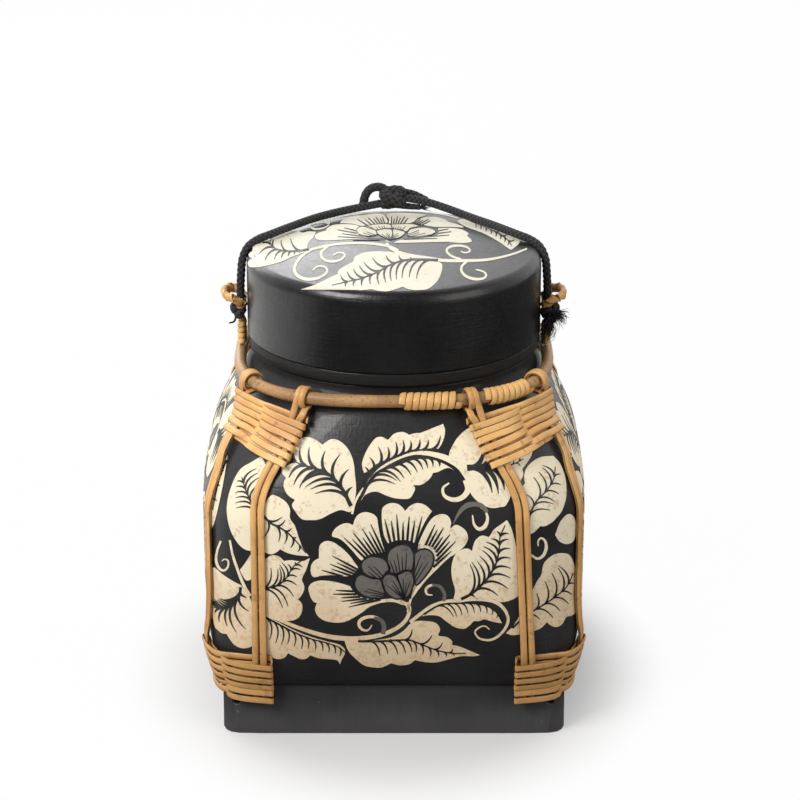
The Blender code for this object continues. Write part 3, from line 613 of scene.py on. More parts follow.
# %% [markdown]
# ## Lacquer and base paint
#
# Black lacquer over weaving shows the strips below it as faint ribs, and it shines unevenly where
# hands have rubbed it. A plain black would look like plastic. Weft runs round the body and warp
# runs up it, so two stretched noises crossing each other give the ribs on any side of the form.

# %% Black finishes
def lacquer(name, colour, warm, roughness, rib_depth, painted_shade_dull_neck=False):
    f = Finish(name, roughness, coat=0.12)
    weft = f.noise((90, 90, 900), detail=1.0)
    warp = f.noise((700, 700, 60), detail=1.0)
    grain = f.noise(420, detail=3.0)
    cloud = f.noise(22, detail=3.0)
    ribs = weft * 0.5 + warp * 0.3 + grain * 0.2
    tone = f.mix(f.band(cloud, 0.35, 0.7), colour, warm)
    rough = f.band(cloud * 0.6 + grain * 0.4, 0.3, 0.7, roughness - 0.07, roughness + 0.09)
    if painted_shade_dull_neck:
        # Painted shade from the shoulder up: the lacquer of the neck and the neck band is painted near black there,
        # and also made rougher.
        neck = f.band(f.part("Z"), 0.170, 0.186)
        tone = f.mix(neck, tone, (0.002, 0.002, 0.0024))
        rough = rough + neck * 0.38
    f.set("Base Color", tone)
    f.set("Roughness", rough)
    f.bump(ribs, rib_depth)
    return f.material


def base_paint():
    """Dull black on wood: faint upright streaks, a few pale specks, paler towards the floor."""
    f = Finish("base_paint", 0.5)
    streak = f.noise((650, 650, 14), detail=3.0)
    cloud = f.noise((40, 40, 25), detail=3.0)
    specks = f.noise(520, detail=1.0)
    # Paler towards the floor, mixed with the upright streaks and clouds.
    paler_low_with_streaks = f.band(f.part("Z"), BASE_HEIGHT, 0.0, 0.0, 0.75) * 0.7 + streak * 0.10 + cloud * 0.22
    tone = f.mix(f.band(paler_low_with_streaks, 0.1, 0.9), (0.023, 0.023, 0.025), (0.086, 0.083, 0.088))
    f.set("Base Color", f.mix(f.band(specks, 0.76, 0.82) * 0.5, tone, (0.30, 0.30, 0.30)))
    f.set("Roughness", f.band(cloud, 0.3, 0.7, 0.42, 0.58))
    f.bump(streak * 0.4 + cloud * 0.6, 0.00014)
    return f.material


BODY_LACQUER = lacquer("body_lacquer", (0.013, 0.013, 0.0145), (0.020, 0.0195, 0.020), 0.40, 0.00028,
                       painted_shade_dull_neck=True)
LID_LACQUER = lacquer("lid_lacquer", (0.0035, 0.0035, 0.0042), (0.0075, 0.0072, 0.0078), 0.34, 0.00022)
BASE_PAINT = base_paint()
print("black finishes:", BODY_LACQUER.name, LID_LACQUER.name, BASE_PAINT.name)


# %% [markdown]
# ## Rattan
#
# Split rattan has fibres along its length, a pale shiny skin, and here and there a brown node or a dark scratch. The
# fibres need to follow each strip round its bends, so they read the strip's own UV map. Three mixes are made, for the
# brown round hoop, the straps and the paler lashing strip. A split strip also gets dark edges, painted shade of the
# gaps between turns, which keep one turn apart from the next.

# %% Rattan finishes
def rattan(name, pale, tan, deep, roughness=0.5, split=True):
    f = Finish(name, roughness, coat=0.1)
    fibre = f.noise((16, 0.9, 1), detail=4.0, rough=0.6, kind="UV", scale=1.6)
    pores = f.noise((34, 2.2, 1), kind="UV", scale=2.2)
    cloud = f.noise(38)
    spots = f.noise(190)
    tone = f.mix(f.band(cloud * 0.6 + fibre * 0.4, 0.36, 0.64), tan, pale)
    tone = f.mix(f.band(spots, 0.60, 0.72) * 0.5, tone, deep)
    low, high, share = (0.62, 0.74, 0.65) if split else (0.52, 0.62, 0.75)
    tone = f.mix(f.band(pores, low, high) * share, tone, deep)
    foot = f.band(f.part("Z"), 0.025, 0.13, 0.55, 0.0)
    tone = f.mix(foot, tone, tuple(0.60 * part for part in tan))
    if split:
        # Painted shade: each split strip's edges are darkened as if they lay in the gap between two turns.
        from_edge = f.node("ShaderNodeMath", {"operation": "PINGPONG"},
                           {0: f.part("X", "UV"), 1: RIBBON_UV_GIRTH / 4})
        edge = f.band(from_edge - fibre * 0.02, 0.026, -0.004)
        tone = f.mix(edge * 0.85, tone, tuple(0.22 * part for part in deep))
    f.set("Base Color", tone)
    f.set("Roughness", f.band(fibre, 0.3, 0.7, roughness - 0.08, roughness + 0.12))
    f.bump(fibre * 0.7 + pores * 0.3, 0.00012)
    return f.material


HOOP_RATTAN = rattan("hoop_rattan", (0.54, 0.31, 0.125), (0.34, 0.175, 0.07), (0.10, 0.045, 0.018),
                     split=False)
STRAP_RATTAN = rattan("strap_rattan", (0.78, 0.45, 0.16), (0.56, 0.28, 0.09), (0.24, 0.10, 0.035))
LASHING_RATTAN = rattan("lashing_rattan", (0.84, 0.50, 0.18), (0.62, 0.31, 0.10), (0.24, 0.10, 0.03))


def bare_bamboo():
    """The unpainted bamboo inside, dark with smoke and oil."""
    f = Finish("inner_bamboo_strips", 0.6)
    strips = f.noise((60, 60, 700))
    cloud = f.noise(50)
    f.set("Base Color", f.mix(f.band(strips * 0.6 + cloud * 0.4, 0.35, 0.65),
                              (0.030, 0.020, 0.014), (0.085, 0.058, 0.036)))
    f.bump(strips, 0.0003)
    return f.material


def black_cord():
    """Soft braided cotton, almost black: painted shade in the grooves between strands, a paler painted highlight on
    their crests.
    """
    f = Finish("braided_cotton", 0.85, sheen=0.06)
    thread = f.noise((30, 30, 1), detail=3.0, kind="UV")
    round_it, along = f.part("X", "UV") * 8.889, f.part("Y", "UV") * 11.22
    one = f.node("ShaderNodeMath", {"operation": "SINE"}, {0: round_it + along})
    other = f.node("ShaderNodeMath", {"operation": "SINE"}, {0: round_it - along})
    crossing = f.node("ShaderNodeMath", {"operation": "ABSOLUTE"}, {0: one * other})
    strand = f.band(crossing, 0.0, 0.45)
    # Painted shade and highlight: darker in the grooves between strands, paler on their crests, mixed with fibre
    # noise.
    f.set("Base Color", f.mix(f.band(strand * 0.7 + thread * 0.5, 0.25, 0.95),
                              (0.0015, 0.0015, 0.002), (0.030, 0.029, 0.032)))
    f.bump(strand * 0.75 + thread * 0.25, 0.00045)
    return f.material


INNER_BAMBOO = bare_bamboo()
CORD_BLACK = black_cord()
print("rattan, bamboo and cord finishes ready")

# %% [markdown]
# ## Carrying cord
#
# The cord is a round braid, limp cotton 4.5 mm thick. A stopper knot under each ear keeps it from
# slipping out. Each run goes up through its ear, over the lid's edge and back to one big knot
# behind the lid. The photograph shows it from end to end, so its length is what it shows.
#
# The braid could be eight modelled strands, but at this size a tube whose surface swells where
# two strands cross looks the same and stays light. The cord is limp, so it lies on the lid.

# %% Cord routes
def lid_surface_z(radius):
    """Height of the lid's top at a distance from its middle."""
    flat = LID_RADIUS - LID_EDGE_WIDE
    if radius < flat:
        return LID_CROWN_Z + LID_DOME * (1 - (radius / flat) ** 2)
    past = (radius - flat) / LID_EDGE_WIDE
    return LID_CROWN_Z - LID_EDGE + LID_EDGE * math.sqrt(max(0.0, 1 - past ** 2))


def over_lid(side, x_share, y_share, extra):
    x = side * LID_RADIUS * x_share
    y = LID_RADIUS * y_share
    return (x, y, lid_surface_z(math.hypot(x, y)) + CORD_DIAMETER / 2 + CANE_GAP + extra)


def cord_route(side, start_z):
    """Points from an ear up the wall, over the lid's edge and back to the middle knot."""
    x, crown = CORD_X, LID_CROWN_Z
    return [(side * x, 0, start_z), (side * x, 0.0002, start_z + 0.006),
            (side * (x - 0.0004), 0.0008, crown - 0.0132), (side * (x - 0.0012), 0.0030, crown - 0.0062),
            (side * (x - 0.0039), 0.0066, crown - 0.0008), (side * (x - 0.0088), 0.0115, crown + 0.0019),
            over_lid(side, 0.835, 0.225, 0.0003),
            over_lid(side, 0.694, 0.411, 0.0004), over_lid(side, 0.540, 0.591, 0.0008),
            over_lid(side, 0.373, 0.746, 0.0018 + side * 0.0008),
            over_lid(side, 0.219, 0.836, 0.0032 + side * 0.0015),
            (MIDDLE_KNOT.x + side * 0.0045, MIDDLE_KNOT.y, MIDDLE_KNOT.z - 0.0012 + side * 0.0016)]


def braid(u, along):
    """Swelling of a round braid: strands cross in diamonds about 3 mm long."""
    lay = math.tau * along / 0.0056
    one = math.sin(2 * math.tau * u + lay)
    other = math.sin(2 * math.tau * u - lay)
    return 0.84 + 0.18 * abs(one * other) ** 0.5


CORD_STARTS = {"left": (-1, 0.2114), "right": (1, 0.2109)}
cords = {}
for label, (side, start_z) in CORD_STARTS.items():
    points, length = smooth_route(cord_route(side, start_z), 0.0005)
    bm = bmesh.new()
    tube(bm, points, CORD_DIAMETER / 2, sides=20, bumps=braid)
    cord = finish_mesh(f"cord_{label}_braid", bm, CORD_BLACK, body=None, smooth=80)
    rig.blend(cord, "basket", "lid", start=(0, 0, 0.217), end=(0, 0, 0.238))
    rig.replaces(cord, "cord_" + label)
    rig.slot(cord, "cord_black")
    cords[label] = (cord, points, length)
    print(f"cord {label}: {length * 1000:.0f} mm")


# %% [markdown]
# ## Knots
#
# Each knot is an overhand knot pulled tight. Its line is the trefoil curve, which passes over and
# under itself three times, squeezed to the size of the lump in the photograph. The right knot was
# burst by wear: loose threads stand out of it to the side and hang down to the hoop.

# %% Knotted lumps
def overhand(centre, reach, turn, thick, steps=150):
    """Even points on a tightened trefoil of half sizes reach, measured to the strand's outside."""
    route = []
    for k in range(steps):
        t = math.tau * k / steps
        loose = Vector(((math.sin(t) + 2 * math.sin(2 * t)) / 3, (math.cos(t) - 2 * math.cos(2 * t)) / 3,
                        -math.sin(3 * t)))
        loose = turn @ loose
        route.append(centre + Vector([loose[i] * (reach[i] - thick) for i in range(3)]))
    return route


def loose_threads(bm, seed, count, root, aim, spread, length, droop, radius):
    """Thin threads that leave a root point along aim, each with its own lean, and sag."""
    dice = random.Random(seed)
    for _ in range(count):
        lean = Vector([dice.uniform(-1, 1) for _ in range(3)]) * spread
        direction = (aim + lean).normalized()
        long = length * dice.uniform(0.45, 1.0)
        start = root + Vector([dice.uniform(-1, 1) for _ in range(3)]) * 0.0012
        curl = Vector([dice.uniform(-1, 1) for _ in range(3)]) * long * 0.22
        route = [start, start + direction * long * 0.4 + curl * 0.4,
                 start + direction * long * 0.75 + curl - UP * droop * long * 0.3,
                 start + direction * long - UP * droop * long]
        points, _ = smooth_route(route, long / 7)
        tube(bm, points, lambda v: radius * (1.05 - v), sides=5)


AXIS_X = Matrix.Rotation(math.pi / 2, 3, "Y")
AXIS_TILT = Matrix.Rotation(math.radians(20), 3, "X") @ Matrix.Rotation(math.radians(35), 3, "Z")
LEFT_KNOT = Vector((-CORD_X - 0.0010, -0.0022, 0.2070))
RIGHT_KNOT = Vector((CORD_X + 0.0018, -0.0026, 0.2055))


def knot(name, centre, reach, turn, thick, node, body, extra=None):
    bm = bmesh.new()
    tube(bm, overhand(centre, reach, turn, thick), thick, closed=True, bumps=braid)
    if extra:
        extra(bm)
    return finish_node(node, "cord_black", name, bm, CORD_BLACK, body, smooth=80)


def left_thread_end(bm):
    points, _ = smooth_route([LEFT_KNOT + Vector((-0.001, -0.002, -0.002)),
                              LEFT_KNOT + Vector((-0.0022, -0.0042, -0.0062)),
                              LEFT_KNOT + Vector((-0.0050, -0.0048, -0.0072))], 0.0006)
    tube(bm, points, lambda v: 0.00075 - 0.0003 * v, sides=8)


# Threads of the burst knot: seed, count, root and aim, spread, length, droop and radius.
BURST = ((3, 120, (0.0010, -0.0050, -0.0005), (1.0, -0.25, -0.05), 0.60, 0.0090, 0.25, 0.00025),
         (5, 130, (0.0, -0.0045, -0.001), (-0.25, -0.10, -1.0), 0.22, 0.0180, 0.0, 0.00027),
         (8, 26, (0.0, -0.002, -0.002), (0.3, -0.6, -0.8), 0.45, 0.0100, 0.3, 0.00018))


def right_burst(bm):
    for seed, count, root, aim, *habit in BURST:
        loose_threads(bm, seed, count, RIGHT_KNOT + Vector(root), Vector(aim), *habit)


left_knot = knot("ear_knot_left_braid", LEFT_KNOT, (0.0048, 0.0072, 0.0054), AXIS_TILT, 0.0025,
                 "ear_knot_left", "basket", left_thread_end)
right_knot = knot("ear_knot_right_burst", RIGHT_KNOT, (0.0056, 0.0076, 0.0064), AXIS_TILT, 0.0028,
                  "ear_knot_right", "basket", right_burst)
middle_knot = knot("middle_knot_braid", MIDDLE_KNOT, (0.0078, 0.0062, 0.0072), AXIS_X, 0.0029,
                   "middle_knot", "lid")


def knot_end(name, steps, radius, node):
    points, _ = smooth_route([MIDDLE_KNOT + Vector(step) for step in steps], 0.0005)
    bm = bmesh.new()
    tube(bm, points, radius, bumps=braid)
    return finish_node(node, "cord_black", name, bm, CORD_BLACK, "lid", smooth=80)


bight = knot_end("knot_loop_braid",
                 [(-0.0020, 0.0035, 0.0020), (-0.0066, 0.0038, 0.0049), (-0.0117, 0.0038, 0.0043),
                  (-0.0150, 0.0032, 0.0006), (-0.0166, 0.0026, -0.0062)], 0.0025, "knot_loop")
cut_end = knot_end("knot_tail_braid",
                   [(0.0030, 0.0030, 0.0026), (0.0110, 0.0030, 0.0012), (0.0188, 0.0020, -0.0024)],
                   0.0023, "knot_tail")


def frayed_end():
    """The other cut end: it lies on the lid under the right run, with its threads loose."""
    root = MIDDLE_KNOT + Vector((0.0150, -0.0006, -0.0052))
    points, _ = smooth_route([MIDDLE_KNOT + Vector((0.0020, -0.0010, -0.0036)),
                              MIDDLE_KNOT + Vector((0.0085, -0.0004, -0.0047)), root], 0.0005)
    bm = bmesh.new()
    tube(bm, points, lambda v: 0.0021 - 0.0005 * v, bumps=braid)
    loose_threads(bm, 21, 40, root, Vector((1.0, -0.10, -0.06)), 0.16, 0.0060, 0.02, 0.00022)
    piece = finish_mesh("knot_frayed_end", bm, CORD_BLACK, "lid", smooth=80)
    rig.slot(piece, "cord_black")
    return piece


on_cord = {"left": [left_knot, middle_knot, bight, cut_end, frayed_end()], "right": [right_knot]}
for label, (cord, points, length) in cords.items():
    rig.cord(cord, exit=points[0], length=length, diameter=CORD_DIAMETER, far_end="knot", stiffness="limp",
            lay="loose", path=points[::8] + [points[-1]], with_pieces=on_cord[label])
print("knots made:", len(on_cord["left"]) + len(on_cord["right"]))

# %% [markdown]
# ## Base boards
#
# Front and back boards are bent round the corners and the side boards are let in between them. The
# CAD boards have the right shape, so a copy of each is merged into one skin and its edges are
# bevelled: sawn wood under paint always has a small round where the light catches.

# %% Base boards
CORNER_FULLNESS = 0.48
SAWN_EDGE = 0.0006


def sharpen(vert):
    """Fills out a corner's arc while its two ends stay, on a board's outer and inner side alike."""
    taper = 0.980 + 0.020 * vert.co.z / BASE_HEIGHT
    for inset in (0, BASE_THICKNESS):
        half, arc = BASE_HALF - inset, BASE_CORNER_RADIUS - inset
        x, y = abs(vert.co.x) / taper - (half - arc), abs(vert.co.y) / taper - (half - arc)
        if min(x, y) > -0.00002 and abs(math.hypot(x, y) - arc) < 0.0004:
            x, y = (arc * (max(0.0, part) / arc) ** CORNER_FULLNESS for part in (x, y))
            vert.co.x = math.copysign((half - arc + x) * taper, vert.co.x)
            vert.co.y = math.copysign((half - arc + y) * taper, vert.co.y)
            return True
    return False


def bevelled_copy(node):
    bm = bmesh.new()
    bm.from_mesh(NODES[node].data)
    bmesh.ops.remove_doubles(bm, verts=bm.verts, dist=SAME_POINT)
    moved = sum(sharpen(vert) for vert in bm.verts)
    for vert in bm.verts:
        upright = 1.004 + 0.022 * (1 - vert.co.z / BASE_HEIGHT)
        vert.co = (vert.co.x * upright, vert.co.y * upright, vert.co.z)
    bmesh.ops.dissolve_limit(bm, angle_limit=math.radians(0.5), verts=bm.verts, edges=bm.edges)
    sharp = [edge for edge in bm.edges if edge.is_manifold and edge.calc_face_angle() > math.radians(64)]
    bmesh.ops.bevel(bm, geom=sharp, offset=SAWN_EDGE, segments=2, profile=0.5, affect="EDGES", material=-1)
    bmesh.ops.recalc_face_normals(bm, faces=bm.faces)
    finish_node(node, "base_black", node + "_worn", bm, BASE_PAINT, smooth=72)
    print(node, moved, "corner points drawn out")


for node in ("base_front_board", "base_back_board", "base_left_board", "base_right_board"):
    bevelled_copy(node)
print("base boards bevelled")

# %% [markdown]
# ## Basket body
#
# The body could be a lathe shape, but it is square at the foot. So a grid is wrapped round the
# rounded square and closed at its foot, and a Solidify modifier gives it the real wall inwards.

# %% Body
def body_skin():
    bm = bmesh.new()
    low = BASE_HEIGHT + 0.0003

    def place(u, v):
        z = low + (NECK_TOP_Z - low) * v
        angle = math.tau * u
        return polar(body_radius(angle, z) - 0.0009 * (1 - min(1.0, v * 45)) ** 2, angle, z)

    bent_grid(bm, 192, 90, place, (63.0, 16.0))
    foot = [edge for edge in bm.edges if edge.is_boundary and edge.verts[0].co.z < low + 0.0001]
    bmesh.ops.holes_fill(bm, edges=foot, sides=0)
    bmesh.ops.recalc_face_normals(bm, faces=bm.faces)
    piece = finish_node("basket_body", "black_lacquer", "basket_body_lacquered", bm, BODY_LACQUER, smooth=50)
    wall = piece.modifiers.new("wall", "SOLIDIFY")
    wall.thickness = BODY_WALL
    wall.offset = -1
    return piece


print("body:", len(body_skin().data.polygons), "faces")

# %% [markdown]
# ## Neck and lid
#
# These are turned shapes, so each is a section spun round the upright axis. The lid is two pieces,
# a bent wall and a domed top, with a fine crease where they meet. The edges are rounded over in
# the section itself, which costs less than a bevel and gives a clean highlight.

# %% Rings and lid
def ring_section(inner, outer, low, high, ease):
    """A ring's section, its two outer edges rounded by ease."""
    turns = [math.pi / 2 * k / 3 for k in range(4)]
    points = [(outer - ease + ease * math.sin(turn), high - ease + ease * math.cos(turn)) for turn in turns]
    points += [(outer - ease + ease * math.cos(turn), low + ease - ease * math.sin(turn)) for turn in turns]
    return points + [(inner, low), (inner, high)]


def lid_edge_radius(z):
    """Radius of the lid's rounded edge at a height."""
    rise = (z - LID_CROWN_Z + LID_EDGE) / LID_EDGE
    return LID_RADIUS - LID_EDGE_WIDE * (1 - math.sqrt(1 - rise * rise))


def lid_wall_section():
    heights = [LID_SEAM_Z - (LID_SEAM_Z - LID_CROWN_Z + LID_EDGE) * k / 4 for k in range(5)]
    points = [(lid_edge_radius(z), z) for z in heights]
    points += [(LID_RADIUS, LID_LOW_Z + 0.0005), (LID_RADIUS - 0.0005, LID_LOW_Z)]
    return points + [(LID_RADIUS - LID_WALL, LID_LOW_Z), (LID_RADIUS - LID_WALL, LID_SEAM_Z)]


def lid_top_section():
    flat = LID_RADIUS - LID_EDGE_WIDE
    points = [(flat * k / 16, lid_surface_z(flat * k / 16)) for k in range(17)]
    for k in range(1, 13):
        turn = math.pi / 2 * k / 12
        height = LID_CROWN_Z - LID_EDGE + LID_EDGE * math.cos(turn)
        if height > LID_SEAM_Z + 0.0001:
            points.append((flat + LID_EDGE_WIDE * math.sin(turn), height))
    points += [(lid_edge_radius(LID_SEAM_Z), LID_SEAM_Z),
               (LID_RADIUS - LID_WALL - LID_THICKNESS, LID_SEAM_Z)]
    return points + [(0, lid_surface_z(0) - LID_THICKNESS)]


SPIN_STEPS = 144
TURNED_PIECES = (
    ("neck_collar", "bamboo", "inner_bamboo", INNER_BAMBOO, "basket",
     ring_section(COLLAR_RADIUS - COLLAR_WALL, COLLAR_RADIUS, COLLAR_LOW_Z, COLLAR_TOP_Z, 0.0004)),
    ("neck_band", "lacquered", "black_lacquer", BODY_LACQUER, "basket",
     ring_section(COLLAR_RADIUS + 0.0003, LID_RADIUS - 0.0005, BAND_LOW_Z,
                  BAND_LOW_Z + BAND_HEIGHT, 0.0011)),
    ("lid_wall", "lacquered", "lid_lacquer", LID_LACQUER, "lid", lid_wall_section()),
    ("lid_slip_ring", "bamboo", "inner_bamboo", INNER_BAMBOO, "lid",
     ring_section(SLIP_RING_INNER, SLIP_RING_OUTER, LID_LOW_Z + 0.0006, LID_LOW_Z + 0.010, 0.0003)),
    ("lid_top", "lacquered", "lid_lacquer", LID_LACQUER, "lid", lid_top_section()))
for node, look, slot, material, body, section in TURNED_PIECES:
    finish_node(node, slot, f"{node}_{look}", turned(section, SPIN_STEPS), material, body, smooth=40)
print("lid and neck spun in", SPIN_STEPS, "steps")


# %% [markdown]
# ## Hoop
#
# One thick rattan rod is bent round the neck and its ends are cut to a long slant and laid on each
# other. The strip wound over that joint holds it. The bare part keeps its dark lengthwise grain, and
# like all cane it is a little thicker in one place than in the next.

# %% Hoop rod
def hoop_point(angle, lift=0.0, out=0.0):
    radius = squircle_radius(HOOP_HALF, HOOP_SQUARENESS, angle) + out
    return polar(radius, angle, HOOP_Z + lift)


def hoop_frame(angle):
    step = 0.002
    along = (hoop_point(angle + step) - hoop_point(angle - step)).normalized()
    return along, along.cross(UP).normalized()


def hoop_angle(x):
    """Angle of the point with this x on the hoop's front."""
    return sum(halve(-math.pi, 0.0, 40, lambda angle: hoop_point(angle).x < x)) / 2


def hoop_rod():
    bm = bmesh.new()
    count = 360
    points = [hoop_point(math.tau * k / count) for k in range(count)]
    dice = random.Random(11)
    wobble = [dice.uniform(-1, 1) for _ in range(24)]

    def radius(v):
        place = v * 24
        low = int(place) % 24
        share = smooth_step(place - int(place))
        uneven = wobble[low] * (1 - share) + wobble[(low + 1) % 24] * share
        return HOOP_ROD_RADIUS - 0.0003 + 0.00009 * uneven

    tube(bm, points, radius, sides=20, closed=True)
    finish_node("neck_hoop", "pale_rattan", "neck_hoop_rattan", bm, HOOP_RATTAN)


hoop_rod()
print("hoop rod bent")


# %% [markdown]
# ## Windings on the hoop
#
# A flat strip is wound round the rod, each turn lying a little on the last one. A screw of separate
# rings would look too neat, so it is one ribbon on a helix, tipped so that one edge of each turn
# is proud and throws the fine dark line that the photograph shows.

# %% Windings
def hoop_winding(node, start_x, end_x, turns=8, per_turn=28):
    start, end = hoop_angle(start_x), hoop_angle(end_x)
    length = sum((hoop_point(start + (end - start) * (k + 1) / 20)
                  - hoop_point(start + (end - start) * k / 20)).length for k in range(20))
    pitch = length / turns
    radius = HOOP_ROD_RADIUS + 0.0007
    count = turns * per_turn
    points, sideways = [], []
    for k in range(count + 1):
        angle = start + (end - start) * k / count
        along, out = hoop_frame(angle)
        turn = math.tau * k / per_turn
        points.append(hoop_point(angle) + out * radius * math.cos(turn) + UP * radius * math.sin(turn))
        sideways.append(along)
    bm = bmesh.new()
    ribbon(bm, points, sideways, pitch, 0.0007, bow=0.00012, tip=0.12)
    finish_node(node, "rattan", node + "_strip", bm, LASHING_RATTAN)
    print(f"{node}: {turns} turns of {pitch * 1000:.1f} mm")


END_STRAP_LOW, SIDE_STRAP_LOW = BELLY_HALF - 0.0315, BELLY_HALF - 0.0290
END_STRAP_HIGH, SIDE_STRAP_HIGH = 0.0480, 0.0525
FRONT_RIGHT_SWAY = 0.0070
right_loop_x = END_STRAP_HIGH - FRONT_RIGHT_SWAY
hoop_winding("hoop_winding_front", 0.0040, right_loop_x - 0.0085)
hoop_winding("hoop_winding_corner", right_loop_x + 0.0055, right_loop_x + 0.0267)


# %% [markdown]
# ## Straps
#
# Each strap is one long split cane: up from the base, in front of the hoop, over it, back out
# below it and down again beside itself. The cane's inner side is flat and its outer side is
# rounded, so the ribbon is bowed. The places come from the same skin that the CAD straps lie on.

# %% Where the canes lie
LASHED = {"low": (0.0215, 0.0470), "high": (0.1535, 0.1764)}
STRAP_BOTTOM_Z = 0.0214
STRAP_CLOSES_IN_Z = 0.128
STRAP_LEAVES_BODY_Z = 0.165
STRAP_RING = HOOP_ROD_RADIUS + CANE_GAP + CANE_THICKNESS / 2


def base_radius(angle):
    c = abs(math.cos(angle))
    s = abs(math.sin(angle))
    flat = BASE_HALF - BASE_CORNER_RADIUS
    if BASE_HALF * min(c, s) <= flat * max(c, s):
        return BASE_HALF / max(c, s)
    along = flat * (c + s)
    return along + math.sqrt(along ** 2 - 2 * flat ** 2 + BASE_CORNER_RADIUS ** 2)


def skin_radius(angle, z):
    blend = smooth_step((z - (BASE_HEIGHT - 0.016)) / 0.012)
    return base_radius(angle) * (1 - blend) + body_radius(angle, max(z, BASE_HEIGHT)) * blend


def cane_lift(z):
    resting = CANE_THICKNESS / 2 + CANE_GAP
    lashed = resting + STRIP_THICKNESS + CANE_GAP
    low = smooth_step((LASHED["low"][1] + 0.012 - z) / 0.010)
    high = smooth_step((z - LASHED["high"][0] + 0.012) / 0.010)
    return resting + (lashed - resting) * max(low, high)


def cane_radius(angle, z):
    top = min(z, STRAP_LEAVES_BODY_Z)
    slope = (skin_radius(angle, top + 0.0005) - skin_radius(angle, top - 0.0005)) / 0.001
    radius = skin_radius(angle, top) + cane_lift(top) * math.sqrt(1 + slope * slope)
    if z <= STRAP_LEAVES_BODY_Z:
        return radius
    at_hoop = squircle_radius(HOOP_HALF, HOOP_SQUARENESS, angle) + STRAP_RING
    left = (HOOP_Z - z) / (HOOP_Z - STRAP_LEAVES_BODY_Z)
    return at_hoop + (radius - at_hoop) * left * abs(left)


def cane_point(angle, z):
    return polar(cane_radius(angle, z), angle, z)


def cane_frame(angle, z):
    side = (cane_point(angle + 0.003, z) - cane_point(angle - 0.003, z)).normalized()
    rise = (cane_point(angle, z + 0.0006) - cane_point(angle, z - 0.0006)).normalized()
    return side, rise, side.cross(rise).normalized()


def strap_angle(face, z, sway, shift=0.0):
    """Angle of a strap's middle, or of a cane beside it, at a height; sway leans it to the middle."""
    low_offset = END_STRAP_LOW if face == "end" else SIDE_STRAP_LOW
    high_offset = END_STRAP_HIGH if face == "end" else SIDE_STRAP_HIGH
    closing = smooth_step((z - STRAP_CLOSES_IN_Z) / (HOOP_Z - STRAP_CLOSES_IN_Z))
    wanted = low_offset + (high_offset - low_offset) * closing
    if face == "end":
        wanted -= sway * max(0.0, z - LASHED["low"][1]) / (HOOP_Z - LASHED["low"][1])
    part, last = (math.cos, math.pi / 2) if face == "end" else (math.sin, 0.0)
    angle = sum(halve(math.pi / 4, last, 26, lambda turn: cane_radius(turn, z) * part(turn) > wanted)) / 2
    speed = (cane_point(angle + 0.01, z) - cane_point(angle - 0.01, z)).length / 0.02
    return angle + shift / speed


CORNERS = {"front_left": (-1, -1, 0.0), "front_right": (1, -1, FRONT_RIGHT_SWAY),
           "back_left": (-1, 1, 0.0), "back_right": (1, 1, 0.0)}
print("canes lie", round(cane_lift(0.1) * 1000, 1), "mm off the body")


# %% Straps
def strap_line(face, sway):
    """Points and sideways directions of one strap in the corner +X +Y."""
    shift = (CANE_WIDTH + CANE_GAP) / 2
    heights = [STRAP_BOTTOM_Z + (STRAP_LEAVES_BODY_Z - STRAP_BOTTOM_Z) * k / 36 for k in range(37)]
    heights += [STRAP_LEAVES_BODY_Z + 0.004, STRAP_LEAVES_BODY_Z + 0.0075]
    points, sideways = [], []
    for z in heights + [STRAP_LEAVES_BODY_Z + 0.013]:
        angle = strap_angle(face, z, sway, -shift)
        points.append(cane_point(angle, z))
        sideways.append(cane_frame(angle, z)[0])
    first, last = strap_angle(face, HOOP_Z, sway, -shift), strap_angle(face, HOOP_Z, sway, shift)
    ring = STRAP_RING
    turns = [math.radians(turn) for turn in range(0, 631, 18)]
    loop = [(ring * math.cos(turn), ring * math.sin(turn)) for turn in turns]
    loop += [(0.68 * ring, -1.06 * ring), (1.18 * ring, -1.48 * ring)]
    for k, (push, lift) in enumerate(loop):
        if k < len(turns):
            angle = first + (last - first) * k / (len(turns) - 1)
        else:
            angle = strap_angle(face, HOOP_Z + lift, sway, shift)
        along, out = hoop_frame(angle)
        points.append(hoop_point(angle) + out * push + UP * lift)
        sideways.append(along)
    for z in reversed(heights):
        angle = strap_angle(face, z, sway, shift)
        points.append(cane_point(angle, z))
        sideways.append(cane_frame(angle, z)[0])
    return points, sideways


def refine(points, sideways, spacing):
    """The same line with more points, and its sideways directions mixed to match."""
    fine, _ = smooth_route(points, spacing)
    turned_sides = []
    near = 0
    for point in fine:
        while near < len(points) - 2 and (points[near + 1] - point).length < (points[near] - point).length:
            near += 1
        gap = (points[near + 1] - points[near]).length
        share = min(1.0, (point - points[near]).length / max(gap, 1e-9))
        turned_sides.append(sideways[near].lerp(sideways[near + 1], share).normalized())
    return fine, turned_sides


def mirrored(vectors, sx, sy):
    return [Vector((v.x * sx, v.y * sy, v.z)) for v in vectors]


for corner, (sx, sy, sway) in CORNERS.items():
    for face in ("end", "side"):
        points, sideways = refine(*strap_line(face, sway), 0.0014)
        bm = bmesh.new()
        ribbon(bm, mirrored(points, sx, sy), mirrored(sideways, sx, sy), CANE_WIDTH, CANE_THICKNESS,
               bow=0.00035 * sx * sy)
        node = f"{face}_strap_{corner}"
        finish_node(node, "pale_rattan", node + "_cane", bm, STRAP_RATTAN)
print("straps:", 2 * len(CORNERS))


# %% [markdown]
# ## Figure-of-eight lashings
#
# This is the part of the basket that takes most skill. A flat strip goes over one strap, dives
# between the two, comes round the other and dives back, so that the turns from left and right meet
# in a zip down the middle. The ribbon keeps its full width through the crossing; it is bowed, and
# rides forward a little at the middle, so each turn shows over the one that it crosses.

# %% Lashings
LASHING_TURNS, POINTS_PER_TURN = 6, 40
ROUND_THE_STRAP = 0.0025
FORWARD, DIVE = 0.16, 3.2


